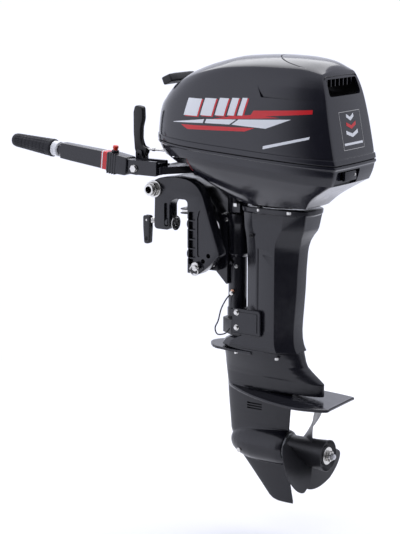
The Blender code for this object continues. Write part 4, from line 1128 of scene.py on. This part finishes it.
def gearcase():
    sections = [
        (-444, 57, 319, 26, 0.42), (-430, 55, 319, 26, 0.42), (-414, 53, 319, 27, 0.42),
        (-408, 52.5, 311, 29, 0.43), (-400, 52, 300, 31, 0.44),
        (-390, 51.5, 286, 34.5, 0.46), (-380, 51, 274, 38, 0.48), (-368, 50, 268, 42, 0.5),
        (-360, 50, 266, 44, 0.5), (-346.3, 50, 262, 46.5, 0.5),
    ]
    rings = []
    for z, a, b, c, wide in sections:
        x, y = half_plan(a, b, c, 2.2, 2.0, 48, wide)
        rings.append(both_sides(x, y, np.full(48, z)))
    obj = piece("gearcase_casting", loft(rings), "cast_paint", 30)
    edge = smooth_path([(57, 0, 0), (70, -16, 0), (92, -31, 0), (125, -47, 0), (160, -60, 0),
                        (195, -69.5, 0), (230, -76, 0), (262, -79.5, 0),
                        (290, -80, 0), (325, -75, 0), (358, -67, 0), (366, -61, 0)], 3)
    half = [(p.x, p.y) for p in edge] + [(366, -50)]
    full = half + [(x, -y) for x, y in reversed(half[1:])]
    slices = []
    for scale, lift in ((0.97, 0.0), (0.995, 1.2), (1, 3.6), (0.995, 6.2), (0.97, 7.6)):
        slices.append([(200 + (x - 200) * (scale * 0.3 + 0.7), y * scale,
                        PLATE_Z - 9 * (abs(y) / 79) ** 1.5 + lift) for x, y in full])
    join(obj, loft(slices))
    nose = [(10.5, 0), (13, -12), (22, -26), (34, -38), (48, -46), (90, -51.5), (150, -50)]
    nose += [(x, -y) for x, y in reversed(nose[1:])]
    join(obj, prism(nose, -357, -350.8, "z"))
    rings = []
    for z, a, b, c in ((-444, 56, 235, 22), (-470, 57.5, 233, 21), (-500, 60, 230, 20), (-530, 63, 228, 20),
                       (-560, 66, 226, 22), (-583, 76, 222, 26)):
        x, y = half_plan(a, b, c, 2.0, 1.7, 40, 0.42)
        rings.append(both_sides(x, y, np.full(40, z)))
    join(obj, loft(rings))
    bullet = [(0, 68), (6, 69), (12, 71.5), (19, 76), (26, 83), (32, 93), (37, 105), (41, 121), (43.4, 138),
              (44, 155), (44, 200), (43.2, 214),
              (41.4, 222), (39.6, 227), (0, 227)]
    join(obj, turned(bullet, (0, 0, PROP_Z), "x", 72))
    rings = []
    for z, a, b, c in ((-605, 92, 224, 12), (-625, 100, 227, 9.5), (-660, 131, 231, 6.5),
                       (-690, 157, 236, 4.8), (-710, 174, 240, 3.6),
                       (-717, 184, 240.6, 3.0), (-720.4, 196, 240.4, 2.0)):
        x, y = half_plan(a, b, c, 2.0, 1.8, 40, 0.42)
        rings.append(both_sides(x, y, np.full(40, z)))
    join(obj, loft(rings))
    melt(obj, 1.5, 4)
    for side in (-1, 1):
        for k in range(3):
            z = -482 - 6.2 * k
            low, high = sorted((side * 14, side * 44))
            cut(obj, block((122, low, z - 3.6), (162, high, z)))
    chamber = turned([(0, 240), (35, 240), (35, 212), (31, 212), (31, 104), (0, 104)], (0, 0, PROP_Z), "x",
                     48)
    cut(obj, chamber, rod(9, PROP_Z, -330, (DRIVE_X, 0, 0)))
    well = []
    for z, c in ((-424, 20), (-386, 28), (-330, 37)):
        x, y = half_plan(88, 236, c, 3, 3, 30, 0.5)
        well.append(both_sides(x, y, np.full(30, z)))
    cut(obj, loft(well), rod(4.8, PROP_Z, -330, (174, 0, 0)))
    mount(obj, "motor", "gearcase")
    for word, side in (("port", -1), ("starboard", 1)):
        for i, (x, y) in enumerate(((107, 46.5), (218, 45.5))):
            bolt = rod(4.8, -361, -354.6, (x, side * y, 0), "z", 0.8, 6)
            mount(piece(f"flange_bolt_{i + 1}_{word}", bolt, "zinc"), "motor")
    plug = turned([(0, -20), (5.4, -20), (5.4, -38.8), (4.6, -39.4), (0, -39.4)], (110, 0, -600), "y", 28)
    mount(piece("drain_plug", plug, "zinc"), "motor")
    rings = []
    for z, a, b, c in ((-461.8, 264, 316, 12), (-463, 262.5, 317.5, 13.4), (-464.6, 262.5, 317.5, 13.4),
                       (-465, 264, 316, 12)):
        x, y = half_plan(a, b, c, 3, 3, 20, 0.5)
        rings.append(both_sides(x, y, np.full(20, z)))
    mount(piece("anode_block", loft(rings), "anode"), "motor", "trim_anode")


def blade(turn):
    """Helical blade from the hub to a round tip, thick at its root and thin all round its edge."""
    rings = []
    for i in range(25):
        share = i / 24
        radius = 26 + 91.5 * (1 - (1 - share) ** 1.5)
        outward = (radius - 26) / 91.5
        chord = 66 + 62 * math.sin(math.pi * min(outward * 0.62, 1)) if outward < 0.8 else 0
        if outward >= 0.8:
            chord = 127 * math.sqrt(max(1 - ((outward - 0.8) / 0.2) ** 2, 0.006))
        thick = 3.4 - 2.5 * outward
        pitch = math.atan(229 / (math.tau * radius))
        upper, lower = [], []
        for j in range(21):
            s = (j / 20 - 0.5) * chord
            bulge = thick * (1 - (2 * j / 20 - 1) ** 2) + 0.35
            for half, side in ((upper, 1), (lower, -1)):
                along = -s * math.sin(pitch) + side * bulge * math.cos(pitch)
                angle = turn + (s * math.cos(pitch) + side * bulge * math.sin(pitch)) / radius
                half.append((270 + 22 * outward + along, radius * math.sin(angle),
                             PROP_Z + radius * math.cos(angle)))
        rings.append(upper + lower[::-1])
    return loft(rings)


def propeller():
    centre = (0, 0, PROP_Z)
    hub = [(9.8, 329), (20, 329), (22, 327), (22, 322.4), (24, 321.6), (29, 322), (33, 326), (36, 334),
           (37.6, 333), (36.4, 325), (35, 312),
           (34, 300), (33, 270), (32.4, 240), (31.6, 235), (30, 234), (9.8, 234)]
    obj = piece("propeller_casting", turned(hub, centre, "x", 72), "satin", 30)
    for i in range(3):
        join(obj, blade(math.radians(16 + 120 * i)))
    mount(obj, "prop", "propeller")
    nut = piece("castle_nut", turned([(8.5, 343), (12, 343), (13, 342), (13, 333.6), (8.5, 333.6)], centre,
                                     "x", 6), "zinc")
    soften(nut, 0.5, 2)
    for i in range(3):
        turn = Matrix.Translation(centre) @ Matrix.Rotation(math.radians(60 * i), 4, "X")
        cut(nut, moved(block((339.5, -1.6, -20), (350, 1.6, 20)), turn))
    mount(nut, "prop", "propeller_nut")
    mount(piece("split_pin", rod(1.3, -14.5, 14.5, (341, 0, PROP_Z), "y", 0.3, 12), "steel"), "prop")
    washer = [(7.3, 329.5), (20.4, 329.5), (21, 330.2), (21, 332.2), (20.2, 333), (7.3, 333)]
    mount(piece("thrust_washer", turned(washer, centre, "x", 56), "zinc"), "prop", "propeller_washer")


# Controls


def tiller():
    tongue = rounded([(-40, -17, 4), (12, -17, 15), (12, 17, 15), (-40, 17, 4)], 6)
    arm = piece("tiller_casting", moved(prism(tongue, -15, 15), LEAN), "cast_paint", 32)
    soften(arm, 1.6, 2)
    rings = []
    for x, half, low, high in ((-232, 14, -17, 21), (-200, 14.3, -18, 21.6), (-80, 15, -20, 23)):
        rings.append([(x, y, z) for y, z in rounded([(-half, low, 4), (half, low, 4), (half, high, 5),
                                                     (-half, high, 5)], 5)])
    join(arm, moved(loft(rings), LEAN))
    knuckle = piece("knuckle", prism(rounded([(-88, -25, 6), (-26, -23, 10), (-26, 20, 10), (-88, 24, 6)],
                                             5), -19, 19), "dark")
    soften(knuckle, 3, 3)
    bm = bmesh.new()
    bm.from_mesh(knuckle.data)
    bm.transform(Matrix.Diagonal((1000, 1000, 1000, 1)))
    bpy.data.objects.remove(knuckle)
    join(arm, moved(bm, LEAN))
    for x in (-84, -77, -70, -63):
        rib = rounded([(x, -26.2, 1), (x + 2.6, -26.2, 1), (x + 2.6, 24.6, 1), (x, 24.6, 1)], 2)
        join(arm, moved(prism(rib, -19.8, -10), LEAN))
    join(arm, moved(rod(13, -244, -230, (0, 0, 2), "x", 1.0, 40), LEAN),
         moved(rod(9, 22, 29, (-76, 0, 0), "z", 1.0, 40), LEAN))
    cut(arm, rod(5.3, -150, -40, (TILLER_HINGE[0], 0, TILLER_HINGE[2]), "y", 0, 32),
        moved(rod(6.5, 14, 40, (-76, 0, 0)), LEAN))
    for y in (-16, 13):
        panel = rounded([(-222, -10, 3), (-124, -11, 3), (-124, 13, 3), (-222, 12, 3)], 4)
        cut(arm, moved(prism(panel, y if y < 0 else y + 1.2, (y + 1.8) if y < 0 else y + 4), LEAN))
    mount(arm, "tiller", "tiller_arm")
    # Marker band round the arm, red with a pale middle.
    for name, start, end, look in (("outer", -106, -89, "film_red"), ("inner", -104, -101, "film_white")):
        rings = []
        grow = 0.5 if name == "outer" else 0.8
        for x in (start, end):
            t = (x + 246) / 154
            half, low, high = 14 + t + grow, -17 - 3 * t - grow, 21 + 2 * t + grow
            rings.append([(x, y, z) for y, z in rounded([(-half, low, 4.5), (half, low, 4.5),
                                                         (half, high, 5.5), (-half, high, 5.5)], 5)])
        mount(piece(f"tiller_band_{name}", moved(loft(rings, caps=False), LEAN), look), "tiller")
    x, y, z = TILLER_HINGE
    bolt = piece("tiller_bolt", rod(4.9, y - 27, y + 27, (x, 0, z), "y", 0.5, 32), "zinc")
    join(bolt, rod(9, y - 31, y - 24.4, (x, 0, z), "y", 0.8, 6))
    join(bolt, rod(8.8, y - 25.6, y - 24.3, (x, 0, z), "y", 0.2, 32))
    mount(bolt, "motor", "tiller_pivot_bolt")
    dial = piece("dial_ring", moved(turned([(0, -244.6), (17.5, -244.6), (18.4, -245.5), (18.4, -261),
                                            (17.5, -262), (0, -262)], (0, 0, 2), "x", 64), LEAN), "white")
    for i in range(18):
        turn = LEAN @ Matrix.Translation((0, 0, 2)) @ Matrix.Rotation(math.radians(20 * i + 6), 4, "X")
        cut(dial, moved(block((-258, -0.5, 17.9), (-249 - 3 * (i % 2), 0.5, 20)), turn))
    mount(dial, "throttle", "throttle_dial")
    rows = []
    stations = [(-262.5, 20.5), (-263.5, 21.6), (-268, 22)] + [(-270 - 110 * i / 66, 0) for i in range(67)]
    stations += [(-383, 16.4), (-388, 14.8), (-391, 12), (-392, 9)]
    for i, (x, radius) in enumerate(stations):
        ribbed = radius == 0
        if ribbed:
            radius = 21.6 - 4.8 * (-270 - x) / 110
        ring = []
        for k in range(96):
            angle = math.tau * k / 96
            groove = 0.0
            if ribbed and 2 < i - 3 < 64:
                around = (k / 96 * 16) % 1
                ahead = ((x + 270) / 12) % 1
                groove = 1.1 if (around < 0.22 or ahead < 0.2) else 0.0
            r = radius - groove
            ring.append((x, r * math.cos(angle), 2 + r * math.sin(angle)))
        rows.append(ring)
    mount(piece("grip_sleeve", moved(loft(rows), LEAN), "rubber", 60), "throttle", "throttle_grip")
    profile = [(0, 40), (5.2, 40), (6.4, 39.3), (6.8, 38), (6.8, 33.4), (6.2, 32.6), (5.6, 32), (5.6, 21),
               (0, 21)]
    mount(piece("stop_cap", moved(turned(profile, (-76, 0, 0), "z", 40), LEAN), "red"), "stop",
          "stop_button")


def shift():
    x, y, z = LEVER_PIVOT
    outline = rounded([(-10, -9, 6), (10, -9, 6), (18, 4, 6), (19, 16, 5), (8, 18, 12), (1, 34, 30),
                       (2, 62, 40), (8, 84, 30), (7, 112, 8), (-15, 115, 8),
                       (-20, 98, 20), (-20, 50, 40), (-17, 12, 20)], 6)
    lever = piece("lever_moulding", prism([(x + a, z + b) for a, b in outline], y - 7.6, y + 7.6),
                  "plastic", 32)
    soften(lever, 2.6, 3)
    cut(lever, rod(3.6, y - 20, y + 20, (x, 0, z), "y", 0, 24),
        block((x + 5, y - 3.4, z - 6), (x + 30, y + 3.4, z + 30)))
    mount(lever, "gear_lever", "shift_lever")
    link = piece("shift_link", rod(2.8, x + 9, -40, (0, y, z + 12), "x", 0.4, 24), "zinc")
    join(link, rod(4.2, x + 31, x + 39, (0, y, z + 12), "x", 0.5, 6))
    mount(link, "gear_rod", "shift_rod")
    knob = [(0, -86), (3.8, -86), (3.8, -121.5), (9.6, -123), (11, -124.5), (11, -129.5), (10, -132.5),
            (7.5, -134), (0, -134)]
    choke = piece("choke_pull_knob", turned(knob, (0, 26, 106), "x", 48), "plastic")
    mount(choke, "choke", "choke_knob")
    ring = turned([(4.9, -119), (9.0, -119), (9.0, -115.6), (4.9, -115.6)], (0, 26, 106), "x", 40)
    mount(piece("choke_bezel", ring, "plastic"), "motor")


def ground_lead():
    route = [(82, -27.6, -222), (70, -31, -236), (56, -33, -262), (52, -40, -290), (50, -50, -306),
             (62, -58, -318), (82, -56, -314), (91, -50, -302)]
    wire = piece("earth_wire", bent_tube(smooth_path(route, 10), 1.6, 14), "plastic", 60)
    mesh = wire.data
    mesh.shade_smooth()
    del wire["sharp"]
    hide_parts("ground_lead")
    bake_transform(wire)
    lug = moved(turned([(0, 0), (5, 0), (5, 1.6), (3.4, 1.6), (3.4, 4.5), (0, 4.5)], (0, 0, 0), "y", 20),
                Matrix.Translation((82, -29, -222)) @ Matrix.Rotation(math.pi, 4, "Z"))
    mount(piece("earth_screw", lug, "zinc"), "swivel")


# Inside pieces keep the frame's shapes and take better finishes.


def inner_finishes():
    names = {"gloss_black": "paint", "satin_black": "satin", "matte_black": "plastic", "rubber": "rubber",
             "zinc": "zinc", "steel": "steel",
             "cast_alloy": "alloy", "anode": "anode", "red": "red", "white": "white", "ceramic": "ceramic"}
    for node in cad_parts.values():
        for place in node.material_slots:
            for key, look in names.items():
                if place.material and place.material.name.split(".")[0] == key:
                    place.material = looks[look]
                    break


studio()
inner_finishes()
top_cowl()
trim_lines()
cowl_fittings()
starter()
bottom_cowl()
latch()
clamp_brackets()
tilt_hardware()
clamp_screws()
swivel()
steering()
lower_mount()
leg()
gearcase()
propeller()
tiller()
shift()
ground_lead()
